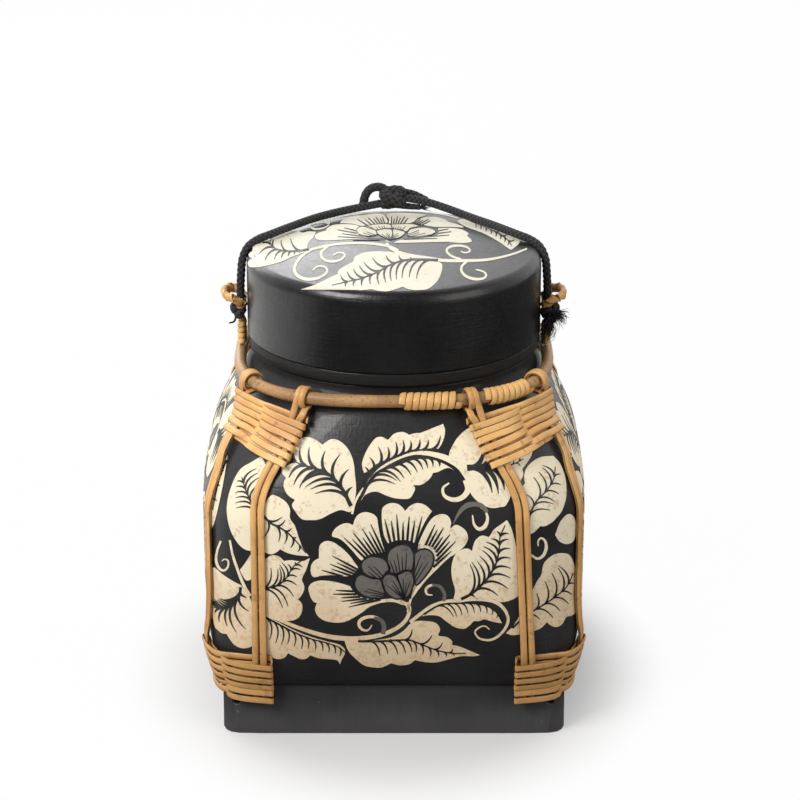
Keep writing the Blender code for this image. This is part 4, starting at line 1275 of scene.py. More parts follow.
def lashing_point(z, place, lift, sway):
    """A point between and round the two straps: place runs from -1 to 1 across both."""
    end_angle, side_angle = strap_angle("end", z, sway), strap_angle("side", z, sway)
    a, b = cane_point(end_angle, z), cane_point(side_angle, z)
    span = (b - a).length
    along = place * (span / 2 + CANE_WIDTH + CANE_GAP / 2 + ROUND_THE_STRAP)
    if abs(along) <= span / 2:
        angle = end_angle + (side_angle - end_angle) * (along / span + 0.5)
        side, rise, out = cane_frame(angle, z)
        return cane_point(angle, z) + out * lift, rise
    angle, start, way = (end_angle, a, -1) if along < 0 else (side_angle, b, 1)
    side, rise, out = cane_frame(angle, z)
    return start - side * (along - way * span / 2) + out * lift, rise


def lashing_line(low, high, fall, sway):
    """Points of the strip from the top turn down, and its sideways directions."""
    reach = CANE_THICKNESS / 2 + CANE_GAP + STRIP_THICKNESS / 2
    count = LASHING_TURNS * POINTS_PER_TURN
    points, rises = [], []
    for k in range(count + 1):
        turn = math.tau * k / POINTS_PER_TURN
        place = -math.cos(turn)
        z = high + (low - high) * k / count + fall * min(0.25, place)
        wave = math.tanh(DIVE * (math.sin(2 * turn) - FORWARD)) / math.tanh(DIVE)
        point, rise = lashing_point(z, place, -reach * max(-1.0, min(1.0, wave)), sway)
        points.append(point)
        rises.append(rise)
    return points, rises


for level, fall in (("upper", 0.0045), ("lower", 0.0)):
    for corner, (sx, sy, sway) in CORNERS.items():
        points, rises = lashing_line(*LASHING_HEIGHTS[level], fall, sway)
        width = 1.04 * min((q - p).length for p, q in zip(points, points[POINTS_PER_TURN:]))
        bm = bmesh.new()
        ribbon(bm, mirrored(points, sx, sy), mirrored(rises, sx, sy), width, STRIP_THICKNESS,
               bow=0.00022 * sx * sy)
        node = f"{level}_lashing_{corner}"
        finish_node(node, "rattan", node + "_strip", bm, LASHING_RATTAN)
    print(f"{level} lashings: strip {width * 1000:.1f} mm wide")


# %% [markdown]
# ## Ears
#
# Each ear is a thin cane on a stalk bound to the hoop. Its two legs stand close together inside the
# stopper knot, and above the knot they open into a wide ring that lies flat, so the cord runs up
# through it. A strip is wound over all of it, tipped a little so that the turns overlap.

# %% Winding round any line
def wind(bm, line, radius, pitch, thickness, tip, flat, start, per_turn=24):
    """Winds a flat strip round a line; flat is how much wider the section is along start."""
    core, length = smooth_route(line, 0.0004)
    turns = length / pitch
    frames = carried_frames(core, start)
    count = int(turns * per_turn)
    points, sideways = [], []
    for k in range(count + 1):
        share = k / count
        i = round(share * (len(core) - 1))
        across, out = frames[i]
        turn = math.tau * turns * share
        around = across * radius * flat * math.cos(turn) + out * radius * math.sin(turn)
        points.append(at_share(core, share) + around)
        before, after = core[max(0, i - 1)], core[min(len(core) - 1, i + 1)]
        sideways.append((after - before).normalized())
    ribbon(bm, points, sideways, pitch * 1.03, thickness, bow=0.0001, tip=tip, half_columns=4)


def ear_line(side):
    """Up one leg of the ear, round its ring and down the other leg."""
    leg, eye, reach = EAR_X, EAR_EYE_Z, EAR_REACH
    stalk = EAR_STALK_TOP_Z
    rise = eye - stalk
    half = [(leg, 0.0020, HOOP_Z + 0.0042), (leg, 0.0020, HOOP_Z + 0.010),
            (leg, 0.0022, stalk + rise * 0.094), (leg, 0.0034, stalk + rise * 0.300),
            (leg, 0.0050, stalk + rise * 0.520), (leg + reach * 0.02, 0.0078, stalk + rise * 0.760),
            (leg + reach * 0.22, 0.0096, stalk + rise * 0.900),
            (leg + reach * 0.55, 0.0091, eye - 0.0004), (leg + reach * 0.88, 0.0060, eye)]
    back = [(x, -y, z) for x, y, z in reversed(half)]
    return [Vector((x * side, y, z)) for x, y, z in half + [(leg + reach, 0.0, eye)] + back]


for label, side in (("left", -1), ("right", 1)):
    line = ear_line(side)
    bm = bmesh.new()
    core, _ = smooth_route(line, 0.0006)
    tube(bm, core, lambda v: 0.0013 - 0.0003 * smooth_step(4 * min(v, 1 - v)), sides=12)
    wind(bm, line[4:-4], 0.0012, 0.0048, 0.0006, tip=0.14, flat=1.7, start=Vector((side, 0, 0)))
    finish_node("ear_loop_" + label, "rattan", f"ear_loop_{label}_wrapped", bm, LASHING_RATTAN)
    bm = bmesh.new()
    foot = Vector((side * EAR_X, 0, HOOP_Z + 0.0050))
    wind(bm, [foot + UP * lift for lift in (0, 0.004, 0.008, 0.0125)], 0.0021, 0.0031, 0.0007,
         tip=0.2, flat=1.9, start=Vector((0, 1, 0)))
    finish_node("ear_binding_" + label, "rattan", f"ear_binding_{label}_strip", bm, LASHING_RATTAN)
print("ears wrapped")

# %% [markdown]
# ## Painting: drawn flat, then wrapped
#
# The leaves, petals and curls are brush work in cream over the lacquer, with black left or drawn
# between them. An image texture would be the usual way, but a shape cut from thin paint stays
# sharp at any distance. So each motif is drawn flat, in the photograph's own pixel places, and
# then every point is sent along its line of sight until it meets the body or the lid.
#
# An outline is written as pairs such as 352,511 with a space between them. The line is smooth
# through all of them, apart from those marked with !, which are corners: the notch between two
# lobes, or a leaf's tip.

# %% Drawing tools
def read_points(text):
    """Points (x, y) from written pairs; a corner has a third value."""
    pairs = [word.rstrip("!").split(",") + ["1"] * word.endswith("!") for word in text.split()]
    return [tuple(float(part) for part in pair) for pair in pairs]


def soft_line(points, closed=False, spacing=1.4):
    """Even points on a line that is smooth apart from its marked corners."""
    corners = [i for i, point in enumerate(points) if len(point) > 2]
    if closed:
        first = corners[0] if corners else 0
        points = points[first:] + points[:first + 1]
    cuts = [0] + [i for i in range(1, len(points) - 1) if len(points[i]) > 2] + [len(points) - 1]
    line = []
    for low, high in zip(cuts, cuts[1:]):
        run = [Vector((p[0], p[1], 0)) for p in points[low:high + 1]]
        line += smooth_route(run, spacing)[0][:-1]
    return line if closed else line + [Vector((points[-1][0], points[-1][1], 0))]


def patch(sheet, outline, layer="cream"):
    """A filled motif on the flat sheet."""
    bm = sheet[layer]
    line = soft_line(outline, closed=True)
    face = bm.faces.new([bm.verts.new((p.x, p.y, 0)) for p in line])
    bmesh.ops.triangulate(bm, faces=[face])
    return line


def stroke(bm, line, widths):
    """A brush stroke along even points; widths are its start, middle and end."""
    low, mid, high = widths

    def place(u, v):
        along = at_share(line, min(1.0, v + 0.03)) - at_share(line, max(0.0, v - 0.03))
        across = Vector((-along.y, along.x, 0)).normalized()
        wide = low + (mid - low) * v * 2 if v < 0.5 else mid + (high - mid) * (v * 2 - 1)
        return at_share(line, v) + across * (u - 0.5) * wide

    bent_grid(bm, 1, max(2, len(line) - 1), place)


def brush(sheet, layer, line, widths):
    stroke(sheet[layer], soft_line(read_points(line)), widths)


def hits(origin, way, outline):
    """Distances along a line at which it crosses an outline, nearest first."""
    far = origin + way * 300
    found = []
    for p, q in zip(outline, outline[1:] + outline[:1]):
        met = plane_geometry.intersect_line_line_2d(origin.xy, far.xy, p.xy, q.xy)
        if met:
            found.append((met - origin.xy).length)
    return sorted(found)


def veins(sheet, outline, line, side, count, width, reach, span):
    """Veins that leave a midrib forwards and then bend to the leaf's edge, on one side of it."""
    for k in range(count):
        share = span[0] + (span[1] - span[0]) * (k + 0.5) / count
        root = at_share(line, share)
        along = (at_share(line, min(1, share + 0.04)) - at_share(line, max(0, share - 0.04))).normalized()
        out = Vector((-along.y, along.x, 0)) * side
        far = hits(root, (out * 0.88 + along * 0.48).normalized(), outline)
        if not far:
            continue
        outside = len(far) % 2 == 0
        long = min(far[1 if outside else 0] * reach, 30)
        bend = root + (along * 0.50 + out * 0.16) * long
        end = root + (along * 0.56 + out * 0.90) * long
        vein = [root * (1 - s) ** 2 + bend * 2 * s * (1 - s) + end * s * s
                for s in [step / 6 for step in range(7)]]
        line_points = soft_line([tuple(point.xy) for point in vein])
        stroke(sheet["line"], line_points, (width * 0.85, width * 0.68, 0.6))


def leaf(sheet, outline, midrib, counts, width, reach, span=(0.06, 0.92), tip=0.9):
    """A cream leaf with a black midrib; counts are the veins on its two sides."""
    edge_line = patch(sheet, read_points(outline))
    line = soft_line(read_points(midrib))
    stroke(sheet["line"], line, (width, width * 0.62, tip))
    for side, count in zip((-1, 1), counts):
        veins(sheet, edge_line, line, side, count, width, reach, span)


def fan(sheet, outline, centre, count, low, high, reach, width):
    """Black lines on a petal, aimed at the flower's middle; low and high are angles in degrees."""
    for k in range(count):
        turn = math.radians(low + (high - low) * (k + 0.5) / count)
        way = Vector((math.cos(turn), -math.sin(turn), 0))
        found = hits(centre, way, outline)
        if len(found) < 2:
            continue
        inner, outer = found[0], found[-1]
        end = inner + (outer - inner) * reach * (1 - 0.22 * (k % 2))
        line = soft_line([centre + way * share for share in (inner - 0.5, (inner + end) / 2, end)])
        stroke(sheet["line"], line, (width, width * 0.85, 0.7))


def grown(outline, by):
    """The same outline with every point pushed out from its middle."""
    middle = Vector([sum(p[axis] for p in outline) / len(outline) for axis in (0, 1)])
    return [(*(Vector(p[:2]) + (Vector(p[:2]) - middle).normalized() * by), *p[2:]) for p in outline]


def petals(sheet, rows, centre, layer="cream", by=0.0, rim=0.0):
    """Petals with fans of lines; a rim is a black brush line round each."""
    for outline, *fan_values in rows:
        points = read_points(outline)
        petal = patch(sheet, grown(points, by) if by else points, layer)
        fan(sheet, petal, Vector((*centre, 0)), *fan_values)
        if rim:
            stroke(sheet["line"], petal + [petal[0]], (rim, rim, rim))


def new_sheet():
    return {"cream": bmesh.new(), "grey": bmesh.new(), "line": bmesh.new()}


print("drawing tools ready")

# %% [markdown]
# ## Painting on the front
#
# A peony-like flower sits in the middle on a stem that runs along the foot, with lobed leaves and
# hooked tendrils filling the black round it. This is common ornament on lacquer of northern
# Thailand. What lies between the straps is one sheet, because it comes again on the sides, and
# what turns the corners is another.

# %% Leaves between the straps
front = new_sheet()
corner_sheet = new_sheet()

leaf(front, """352,511! 349,512 341,510 332,513 320,519 311,520 302,519 295,511 292,505 295,500! 288,495
     284,488 284,482 286,478! 282,472 283,462 286,450 294,443 300,439 307,437 314,439 319,442 323,445!
     326,442 333,439 341,442 348,449 353,460 355,475 356,492""", """351,506 341,487 327,473 313,468
     300,464 285,456""", (8, 7), 4.2, 0.66)
leaf(front, """364,473! 362,464 365,454 370,445 376,438 382,437 388,440! 394,434 401,432 406,433 409,435!
     412,434 418,433 424,434 426,436! 431,434 435,433 437,430! 440,429 443,424! 445,430 444,438 441,445
     438,449! 434,448 424,449 411,450 397,455 383,461 375,465 368,471""", """362,487 369,476 379,465
     397,456.5 411,451.5 424,450 437,450.5""", (10, 0), 3.8, 0.62, (0.1, 0.97))
leaf(front, """361,501! 365,495 372,492 378,492 385,495 394,498 403,499 410,498 414,492 415,488 413,485!
     420,485 426,482 431,477 433,473! 438,472 444,469 449,468 454,470! 444,464 433,460 421,459 410,461
     395,467 380,472 376,477 367,487""", """361,497 368,484 377,473 395,464 410,459 421,457.5 433,459
     447,464""", (0, 10), 3.4, 0.55, (0.1, 0.95))
brush(front, "cream", """352,514 356,500 366,485 380,469 397,459 412,453.5 424,453 436,455 448,459
      460,466 468,476""", (2.2, 2.6, 8))
leaf(front, """457,466! 449,456 454,443 460,435 467,429 474,427 481,431 488,441 495,452 500,462 506,478
     511,492 506,505 500,507 492,508 483,505 475,499 470,492 466,481""", """467,468 480,467 493,467
     505,464""", (3, 3), 6.5, 0.66, (0.05, 0.7), 3.0)
leaf(corner_sheet, "509,462! 516,455 526,450 533,448! 531,456 526,464 522,469! 523,475 519,483 515,489!",
     "508,466 516,463 523,459", (2, 1), 1.8, 0.6)
brush(front, "cream", "466,480 468,489 464,496 457,499.5 450,499 444,495 443,488 449,483",
      (6.5, 4.6, 1.6))
brush(front, "grey", "453,524 459,513 466,506 475,504 482,506 487,512", (1, 5.4, 4))
brush(front, "cream", "480,507 485,511 487.5,518 485,526 479,529 474,524 472.5,515", (0.8, 4.2, 1.2))
leaf(front, """279,497! 286,502 290,509 290,518 295,526 299,538 303,548 309,556! 297,555 288,553 280,549!
     277,552 272,554 267,553 262,549 258,535 260,515 266,502 272,495""", """262,514 271,523 279,527
     288,533 297,542 306,553""", (5, 5), 2.6, 0.6)
leaf(front, """262,562! 268,557 274,555 280,557 284,561! 291,560 298,561 303,561 310,558! 306,570 302,579
     304,585 304,590 301,596 298,599! 302,604 302,611 298,618 288,621 278,618 269,614 260,606 254,590
     256,574""", "257,590 266,588 278,585 287,577 293,567 302,560", (7, 7), 2.4, 0.6)
leaf(front, """258,622! 262,643 265,650 270,656 278,659 285,657 288,653! 294,656 301,659 307,658 310,655!
     319,658 330,659 337,660 340,664! 342,659 345,653 344,648 338,644 326,641 309,636 292,629 275,620
     264,614""", "261,615 275,622 292,631 309,638 326,642.5 339,647 345,652",
     (0, 12), 2.2, 0.55, (0.04, 0.96))
brush(front, "cream", """258,610 266,614 280,620 297,627 315,633 332,637 349,638.5 366,637.5 380,635
      391,631 401,625 407,618 409.5,610 408,602""", (2.5, 4.6, 3.4))
leaf(front, """344,639! 348,650 355,658 364,665 372,667 380,667.5 385,666 391,663! 400,665 409,664
     415,660! 426,662 437,662 449,659 461,656 473,656 480,655! 473,652 466,649 458,646 452,645! 452,641
     447,637 440,636 438,635! 440,629 436,623 427,621 417,621 411,623 403,631 392,637 375,640 358,640""",
     "358,641 380,641 397,640 410,640 421,644 437,650 452,653 466,653", (6, 11), 2.4, 0.55, (0.08, 0.92))
brush(front, "grey", "383,634 384,626 381,620 374,617.5", (4.6, 4.4, 3.2))
brush(front, "cream", "378,618 372,616.5 365,617.5 360,620.5 359,625 362.5,629.5 368,630 372,625",
      (2.6, 3.4, 1))
brush(front, "cream", """410,622 421,613.5 432,606 446,601.5 460,600.5 473,599 489,600 499,604 506,612
      508,621 504,630 496,637.5 488,640 479,638 475,632 479,627.5 485,626 489.5,629.5""", (3.2, 3.6, 1.2))
leaf(front, """422,616! 428,612 437,607 446,604 460,604 473,604 487,607 496,613 502,623! 495,622 484,619!
     479,621 474,621 470,625! 464,628.5 455,627 446,621 439,616 430,615""", """424,614 437,606 447,603.5
     460,603 473,603.5 487,606 497,612 503,621""", (0, 9), 2.0, 0.5, (0.15, 0.93))
brush(front, "grey", "443.5,601 444.5,594 440,586.5 432,584.5", (3.6, 3.6, 2.4))
brush(front, "cream", "436,585 430,585.5 426,589 427,594 432.5,595", (2, 2.8, 1))
leaf(front, """453,600.5! 455,590 452,578 451.5,566 455,555 462,549.5 468,548.5 472,551! 474,543
     477,538.5 482,535.5 489,537! 494,529.5 500,525 507,520! 512,530 517,552 521,578 521,592 513,599
     501,602 492,598.5 480,599 466,599""", """461,599 469,595 476,590 484,582 489,576 496,563 499,549
     500,537 505,525""", (9, 9), 3.0, 0.62)
print("leaves drawn")

# %% Flower
# Each petal: its outline, then its fan's count, two angles, reach and width.
PETALS = [
    ("""388,543! 384,535 382,522 382,510 385,505.5 391,503 398,504 403,508 405,511! 410,506 417,503 425,505
     432,511! 426,520 420,532 416,543 413,542 407,540 398,540 391,542""", 7, 106, 74, 0.7, 2.6),
    ("""418.5,543.5! 423,533 429,522 435,516 442,514 448,516 451,522 450,529! 455,525 460,526 466,531 468,538
     465,545 458,552 450,557 443,563 436,570 427,579 419,589 411,600! 416,588 426,577 434,566 437,555
     433,547 427,545""", 8, 67, 40, 0.66, 2.6),
    ("""385,552! 383,546 380,535 378,524 377,518 373,514 366,512 359,514 355,519 353,525! 347,523 340,525
     334,530 332,536 338,538 343,541 352,550 361,560 365,557 372,554 379,553""", 7, 138, 113, 0.7, 2.6),
    ("""351,576! 342,576 332,575 322,575.5 314,577 311,573 311,566 314,561 319,558! 319,552 320,545 326,541
     334,542.5 343,549 350,556 355,563 358,568 355,572""", 5, 165, 150, 0.66, 2.4),
    ("""350,586! 340,583 330,581 320,580.5 312,583 308.5,588 310,595 313,601 317,603! 315,609 318,616 326,621
     338,622.5 348,620.5 361,613 370,606.5 382,602.5 394,602 404,605 402,600.5 392,598.5 376,599.5
     361,597 354,592""", 6, 195, 175, 0.5, 2.2)]
GREY_PETALS = [
    ("364,572! 362,567 363,562 367,558.5 373,557 380,558 385,561 389,568 385,572 381,577 375,577 369,575",
     4, 150, 130, 0.72, 1.3),
    ("""384,597! 378,597.5 369,596.5 361,593 356,587 355.5,582 357.5,577 362,575 366,576.5 372,579 379,579.5
     383,587""", 4, 180, 162, 0.72, 1.3),
    ("391,572! 389,565 388,558 390,551 397,546 404,545 410,548 413,555 413,562 411,569 405,570 398,573",
     5, 113, 84, 0.72, 1.3),
    ("415,569! 415,562 415,555 420,550.5 427,550 432.5,555 432,564 426,574 417,584 415,579",
     3, 72, 54, 0.72, 1.3),
    ("402,597! 396,598 389,594 384,587 383,580 386,575.5 391,575 396,578 400,587", 3, 146, 116, 0.72, 1.3),
    ("404,597! 402,587 398,577 401,572.5 407,571 412,574.5 413,582 410.5,591 407,596", 3, 98, 66, 0.72, 1.3)]
petals(front, PETALS, (403, 594))
brush(front, "cream", "400,601 406,604 409,609", (3, 3, 3))
brush(front, "cream", "411,599 409,605 408.5,612", (2, 3, 3.4))
petals(front, GREY_PETALS, (404, 599), "grey", 0.9, 1.7)
print("flower drawn")

# %% Leaves that turn the corners
leaf(corner_sheet, """553,456! 541,457 532,462 526,469 524,477 525,483! 521,489 520,497 521,505 523,520
     528,535! 534,532 539,527 540,526! 545,526 552,522 556,518! 562,510 566,495 565,478 560,464""",
     "527,522 535,503 545,492 553,480 555,467", (6, 6), 2.2, 0.6)
brush(corner_sheet, "cream", "530,554 537,558.5 543,555.5 546,548 545,541 541,538 538,541 538,546",
      (2, 3.2, 1))
leaf(corner_sheet, """506,633! 513,626 521,613 530,595 537,581 541,575 544,563 553,555 562,553 570,556
     575,570 577,592 576,610 571,616! 566,617 562,624 556,627 550,625 547,622! 539,629 525,633 513,635""",
     "512,628 522,619 531,612 541,606 553,598 566,587 573,573", (7, 7), 2.2, 0.6)
patch(corner_sheet, read_points("555,535! 559,541 566,544 573,541 576,530 574,518 568,514 560,522"))
brush(corner_sheet, "cream", "574,455 569,458 567,466 569,475 573,480", (1, 2.4, 1))
leaf(corner_sheet, """262,456! 252,462 240,470 231,488 227,508 230,528 238,543 247,550 256,549 262,535
     264,505 268,475""", "257,516 252,504 246,490 242,477", (6, 6), 2.6, 0.62)
leaf(corner_sheet, """241,585! 233,581 223,574.5 213,568 211,590 213,615 215,626 218,630 222,633 227,634!
     230,639 235,645 242,648 250,647 256,640 256,620 252,603 248,594""", """241,587 239,597 232,605
     223,609 214,607""", (7, 8), 3.0, 0.6)
brush(corner_sheet, "cream", "230,540 233,555 238,570 244,585 250,596", (2, 2.6, 3.4))
patch(corner_sheet, read_points("240,570! 246,562 253,552 258,556 259,570 253,578 246,580"))
brush(corner_sheet, "cream", """221,541 217.5,551 216.5,561 219.5,568 224,570.5 228,567 228.5,561 225,559
      222,561""", (2, 2.6, 1))
leaf(corner_sheet, "228,455! 221,466 214,485 210,510 209,530 214,524 219,505 224,480",
     "227,460 219,482 213,510", (3, 3), 1.8, 0.5)
print("corner leaves drawn")


# %% [markdown]
# ## Wrapping the drawing round the body
#
# A flat sheet bends well only where it has points to bend at, so each drawing is first cut along
# a fine square grid. Then the camera's line through every point is followed to the body. The back
# gets both sheets, turned half round. The sides get only the sheet from between the straps.

# %% Wrap
BEFORE_BODY_Y = -0.112
SEARCH_END = 1.7
BODY_STEP, LID_STEP = 0.003, 0.0008
LID_SEARCH = 0.12


def sight_line(x, y):
    """The way from the camera through a point of the photograph."""
    across, up = (x - IMAGE_SIZE / 2) / FOCAL_PIXELS, (IMAGE_SIZE / 2 - y) / FOCAL_PIXELS
    c, s = math.cos(CAMERA_DOWN), math.sin(CAMERA_DOWN)
    return Vector((across, c + up * s, up * c - s))


def on_body(x, y, proud):
    """Where the line through a point of the photograph meets the body, or comes nearest to it."""
    way = sight_line(x, y)

    def outside(t):
        p = CAMERA_AT + way * t
        return math.hypot(p.x, p.y) - body_radius(math.atan2(p.y, p.x), min(max(p.z, BASE_HEIGHT), NECK_Z))

    near = (BEFORE_BODY_Y - CAMERA_AT.y) / way.y
    nearest, nearest_at = outside(near), near
    while nearest > 0 and near < SEARCH_END:
        near += BODY_STEP
        value = outside(near)
        if value < 0:
            near = sum(halve(near - BODY_STEP, near, 14, lambda t: outside(t) > 0)) / 2
            break
        if value > nearest:
            near = nearest_at
            break
        nearest, nearest_at = value, near
    p = CAMERA_AT + way * near
    return body_point(math.atan2(p.y, p.x), min(max(p.z, BASE_HEIGHT), NECK_Z), proud)


def on_lid(x, y, proud):
    """Where the line through a point of the photograph meets the top of the lid."""
    way = sight_line(x, y)
    start = (LID_CROWN_Z + LID_DOME + 0.001 - CAMERA_AT.z) / way.z
    far = start

    def under(t):
        p = CAMERA_AT + way * t
        radius = math.hypot(p.x, p.y)
        return radius < LID_RADIUS - 0.0002 and p.z < lid_surface_z(radius)

    while not under(far) and far < start + LID_SEARCH:
        far += LID_STEP
    if far < start + LID_SEARCH:
        far = halve(far - LID_STEP, far, 12, lambda t: not under(t))[1]
    else:
        far = (LID_CROWN_Z - CAMERA_AT.z) / way.z
    p = CAMERA_AT + way * far
    shrink = min(1.0, (LID_RADIUS - 0.0004) / math.hypot(p.x, p.y))
    radius = math.hypot(p.x, p.y) * shrink
    slope = (lid_surface_z(radius - 0.0004) - lid_surface_z(radius)) / 0.0004
    lean = proud / math.sqrt(1 + slope * slope)
    outward = Vector((p.x, p.y, 0)).normalized()
    return Vector((p.x, p.y, 0)) * shrink + outward * slope * lean + UP * (lid_surface_z(radius) + lean)


def cut_square(bm, cell):
    for axis in (0, 1):
        low = min(vert.co[axis] for vert in bm.verts)
        high = max(vert.co[axis] for vert in bm.verts)
        normal = Vector((1 - axis, axis, 0))
        for k in range(int(low / cell) + 1, int(high / cell) + 1):
            bmesh.ops.bisect_plane(bm, geom=bm.verts[:] + bm.edges[:] + bm.faces[:], dist=0.0001,
                                   plane_co=normal * cell * k, plane_no=normal)


def wrap(bm, to_surface, proud, cell=5.0):
    cut_square(bm, cell)
    for vert in bm.verts:
        vert.co = to_surface(vert.co.x, vert.co.y, proud)
    bm.normal_update()
    outward = (lambda face: face.normal.z) if to_surface is on_lid else \
        (lambda face: face.normal.dot(face.calc_center_median() * Vector((1, 1, 0.001))))
    bmesh.ops.reverse_faces(bm, faces=[face for face in bm.faces if outward(face) < 0])


def turned_copy(bm, geometry, turn):
    copy = bmesh.ops.duplicate(bm, geom=geometry)["geom"]
    verts = [item for item in copy if isinstance(item, bmesh.types.BMVert)]
    bmesh.ops.rotate(bm, verts=verts, cent=(0, 0, 0), matrix=Matrix.Rotation(turn, 3, "Z"))


def paint_piece(name, bm, material, body, slot):
    bmesh.ops.solidify(bm, geom=bm.faces[:], thickness=PAINT_THICKNESS)
    bmesh.ops.recalc_face_normals(bm, faces=bm.faces)
    piece = finish_mesh(name, bm, material, body)
    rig.slot(piece, slot)
    print(name, len(piece.data.polygons), "faces")


def paint_finish(name, light, dark, speck, strength):
    """Chalky paint over brown ground: it thins to specks, and more so towards the foot."""
    f = Finish(name, 0.62, coat=0.05)
    fine = f.noise(520, detail=3.0, rough=0.6)
    blot = f.noise(150, detail=3.0, rough=0.55)
    cloud = f.noise(28)
    low = f.band(f.part("Z"), 0.045, 0.125, 1.0, 0.0)
    ground = f.mix(f.band(low * 0.75 + cloud * 0.5, 0.2, 0.95), light, dark)
    specks = f.band(fine * 0.55 + blot * 0.45 + low * 0.05, 0.52, 0.66)
    f.set("Base Color", f.mix(specks * strength, ground, speck))
    f.set("Roughness", f.band(blot, 0.3, 0.7, 0.52, 0.72))
    f.bump(fine * 0.5 + blot * 0.5, 0.00010)
    return f.material


CREAM_PAINT = paint_finish("cream_paint", (0.86, 0.77, 0.58), (0.68, 0.53, 0.35), (0.52, 0.34, 0.18), 0.6)
GREY_PAINT = paint_finish("grey_paint", (0.150, 0.138, 0.125), (0.12, 0.105, 0.09), (0.06, 0.05, 0.042), 0.6)
# The lid's cream is a greyer, darker copy of the body's cream: a painted reflection of the white room on the lid top.
LID_CREAM, LID_TONED = (0.70, 0.66, 0.55), (0.62, 0.59, 0.47)
LID_CREAM_PAINT = paint_finish("lid_cream_paint", LID_CREAM, LID_CREAM, (0.52, 0.45, 0.32), 0.4)
LID_TONED_PAINT = paint_finish("lid_toned_paint", LID_TONED, LID_TONED, (0.36, 0.33, 0.24), 0.4)


def line_finish():
    f = Finish("black_brush_line", 0.5)
    spread = f.noise(300)
    f.set("Base Color", f.mix(f.band(spread, 0.35, 0.7), (0.010, 0.010, 0.012), (0.024, 0.023, 0.024)))
    f.set("Roughness", f.band(spread, 0.3, 0.7, 0.42, 0.6))
    return f.material


BRUSH_BLACK = line_finish()
LAYERS = (("cream", CREAM_PAINT, 0.00022), ("grey", GREY_PAINT, 0.00027), ("line", BRUSH_BLACK, 0.00033))
QUARTER = math.pi / 2
for name, material, proud in LAYERS:
    for label, bm, turns in (("body", front[name], (QUARTER, 2 * QUARTER, -QUARTER)),
                             ("corner", corner_sheet[name], (2 * QUARTER,))):
        if not bm.faces:
            continue
        wrap(bm, on_body, proud)
        geometry = bm.verts[:] + bm.edges[:] + bm.faces[:]
        for turn in turns:
            turned_copy(bm, geometry, turn)
        paint_piece(f"{label}_paint_{name}", bm, material, "basket", "black_lacquer")

# %% [markdown]
# ## Painting on the lid
#
# The lid has a flower and leaves like those of the body, in a greyer cream: a painted reflection of the white room,
# which the top mirrors as well. The photograph sees it at a low angle, so the drawing looks squashed on the flat sheet
# and comes right when it is laid on the dome.

# %% Lid motifs
lid_sheet = new_sheet()
leaf(lid_sheet, """316,232! 313,238 309,242 307,248 311,249.5! 303,253 291,257.5 281,262 269,265.3
     258,267.2 250,267 248,264 249,261 253,258.7! 249,256 250,253 255,250.3! 253,248.7 253,246.5 260,243
     270,237 281,233.7 289,231.3 297,231 301,232.5 304,232.8! 309,231.6""", """309,249.6 299,251.2
     289,251.6 279,250.2 273,247.4 270,243 272,238""", (9, 3), 2.4, 0.62, (0.04, 0.9), 0.9)
brush(lid_sheet, "cream", "398,250.5 388,246.4 373,243.9 357,243.3 342,243.9 330,245.4 318,248 307,251",
      (2.6, 2.2, 2.4))
brush(lid_sheet, "cream", """328,246.4 322,251.5 321,256 325,260.2 332,261.6 340,260.2 344.6,256.3
      343.6,253.6 338,253 333,255.6""", (2.4, 2.6, 1.2))
brush(lid_sheet, "cream", """311,250 301,257 295.5,265 294.5,271 298,276.2 306,279.4 316,278.8 324,275.3
      327.3,270.4 324.4,267 318,266.6 312.6,270.4""", (2.4, 3.2, 1.4))
leaf(lid_sheet, """301,289.6! 316,284.5 330,277.6 338,274! 337.6,272.2 342,268 353,262! 355.3,257
     362.5,253.2 375,251.6 388,252 400,253.6 410,256.5 424,259 437,261.4 442,265 441,273.5 437,281.6
     429,288.6 420,290.3 410,289.7 402.5,287! 393,290.3 386,291.5 378,291 371.6,289.4! 362,290.3 356,290
     351,289! 342,289.4 327,288.4 312,289""", """438,260.6 424,260 411,260 400,261.8 388,266.3 378,272.2
     362,278.6 347,282.1 332,285.6""", (11, 11), 2.6, 0.62, (0.04, 0.9), 0.8)
brush(lid_sheet, "cream", """386,243.5 391,248.4 400,252.9 414,256.2 429,258.4 443,260.6 462,260.9
      482,260.4 497,258.3 513,254.2 527,248.9""", (2.8, 3.2, 1.6))
brush(lid_sheet, "cream", """461,259.4 453,257 447.5,253 447,249.4 451.5,246.6 460,245.9 467,247.4
      470,250.4 468.4,252.4 464.4,252.9 461,251.6""", (2, 2.4, 1.2))
brush(lid_sheet, "cream", """467,261.6 462,266.3 461.6,271.4 466,276.4 475,279.3 483,278.7 486.2,275.8
      484.6,272.6 480,270.6 475.6,269.9""", (2.2, 2.8, 1.2))
leaf(lid_sheet, """457,221.5! 462,219.4 469,219.6 474,221.8 482,224 492,227 502,229.6 512,234.5 518,238.8
     519.4,243 511.6,250! 507.6,248 502,243.9 492,237.8 482,232.7 472,229.1 464,226""",
     "470,220.8 482,225.8 497,232.9 507,239.8 512,246.6", (6, 8), 1.9, 0.6, (0.05, 0.94), 0.7)
brush(lid_sheet, "cream", "339,217 362,213.6 385,211.6 410,211.2 429,212.6 445,215 458,218.4",
      (1.0, 1.8, 1.0))
brush(lid_sheet, "cream", "330,223.6 323,222.6 314,224.2 310.5,227 315,229.2 324,228 329,225",
      (1.6, 2.0, 1.0))

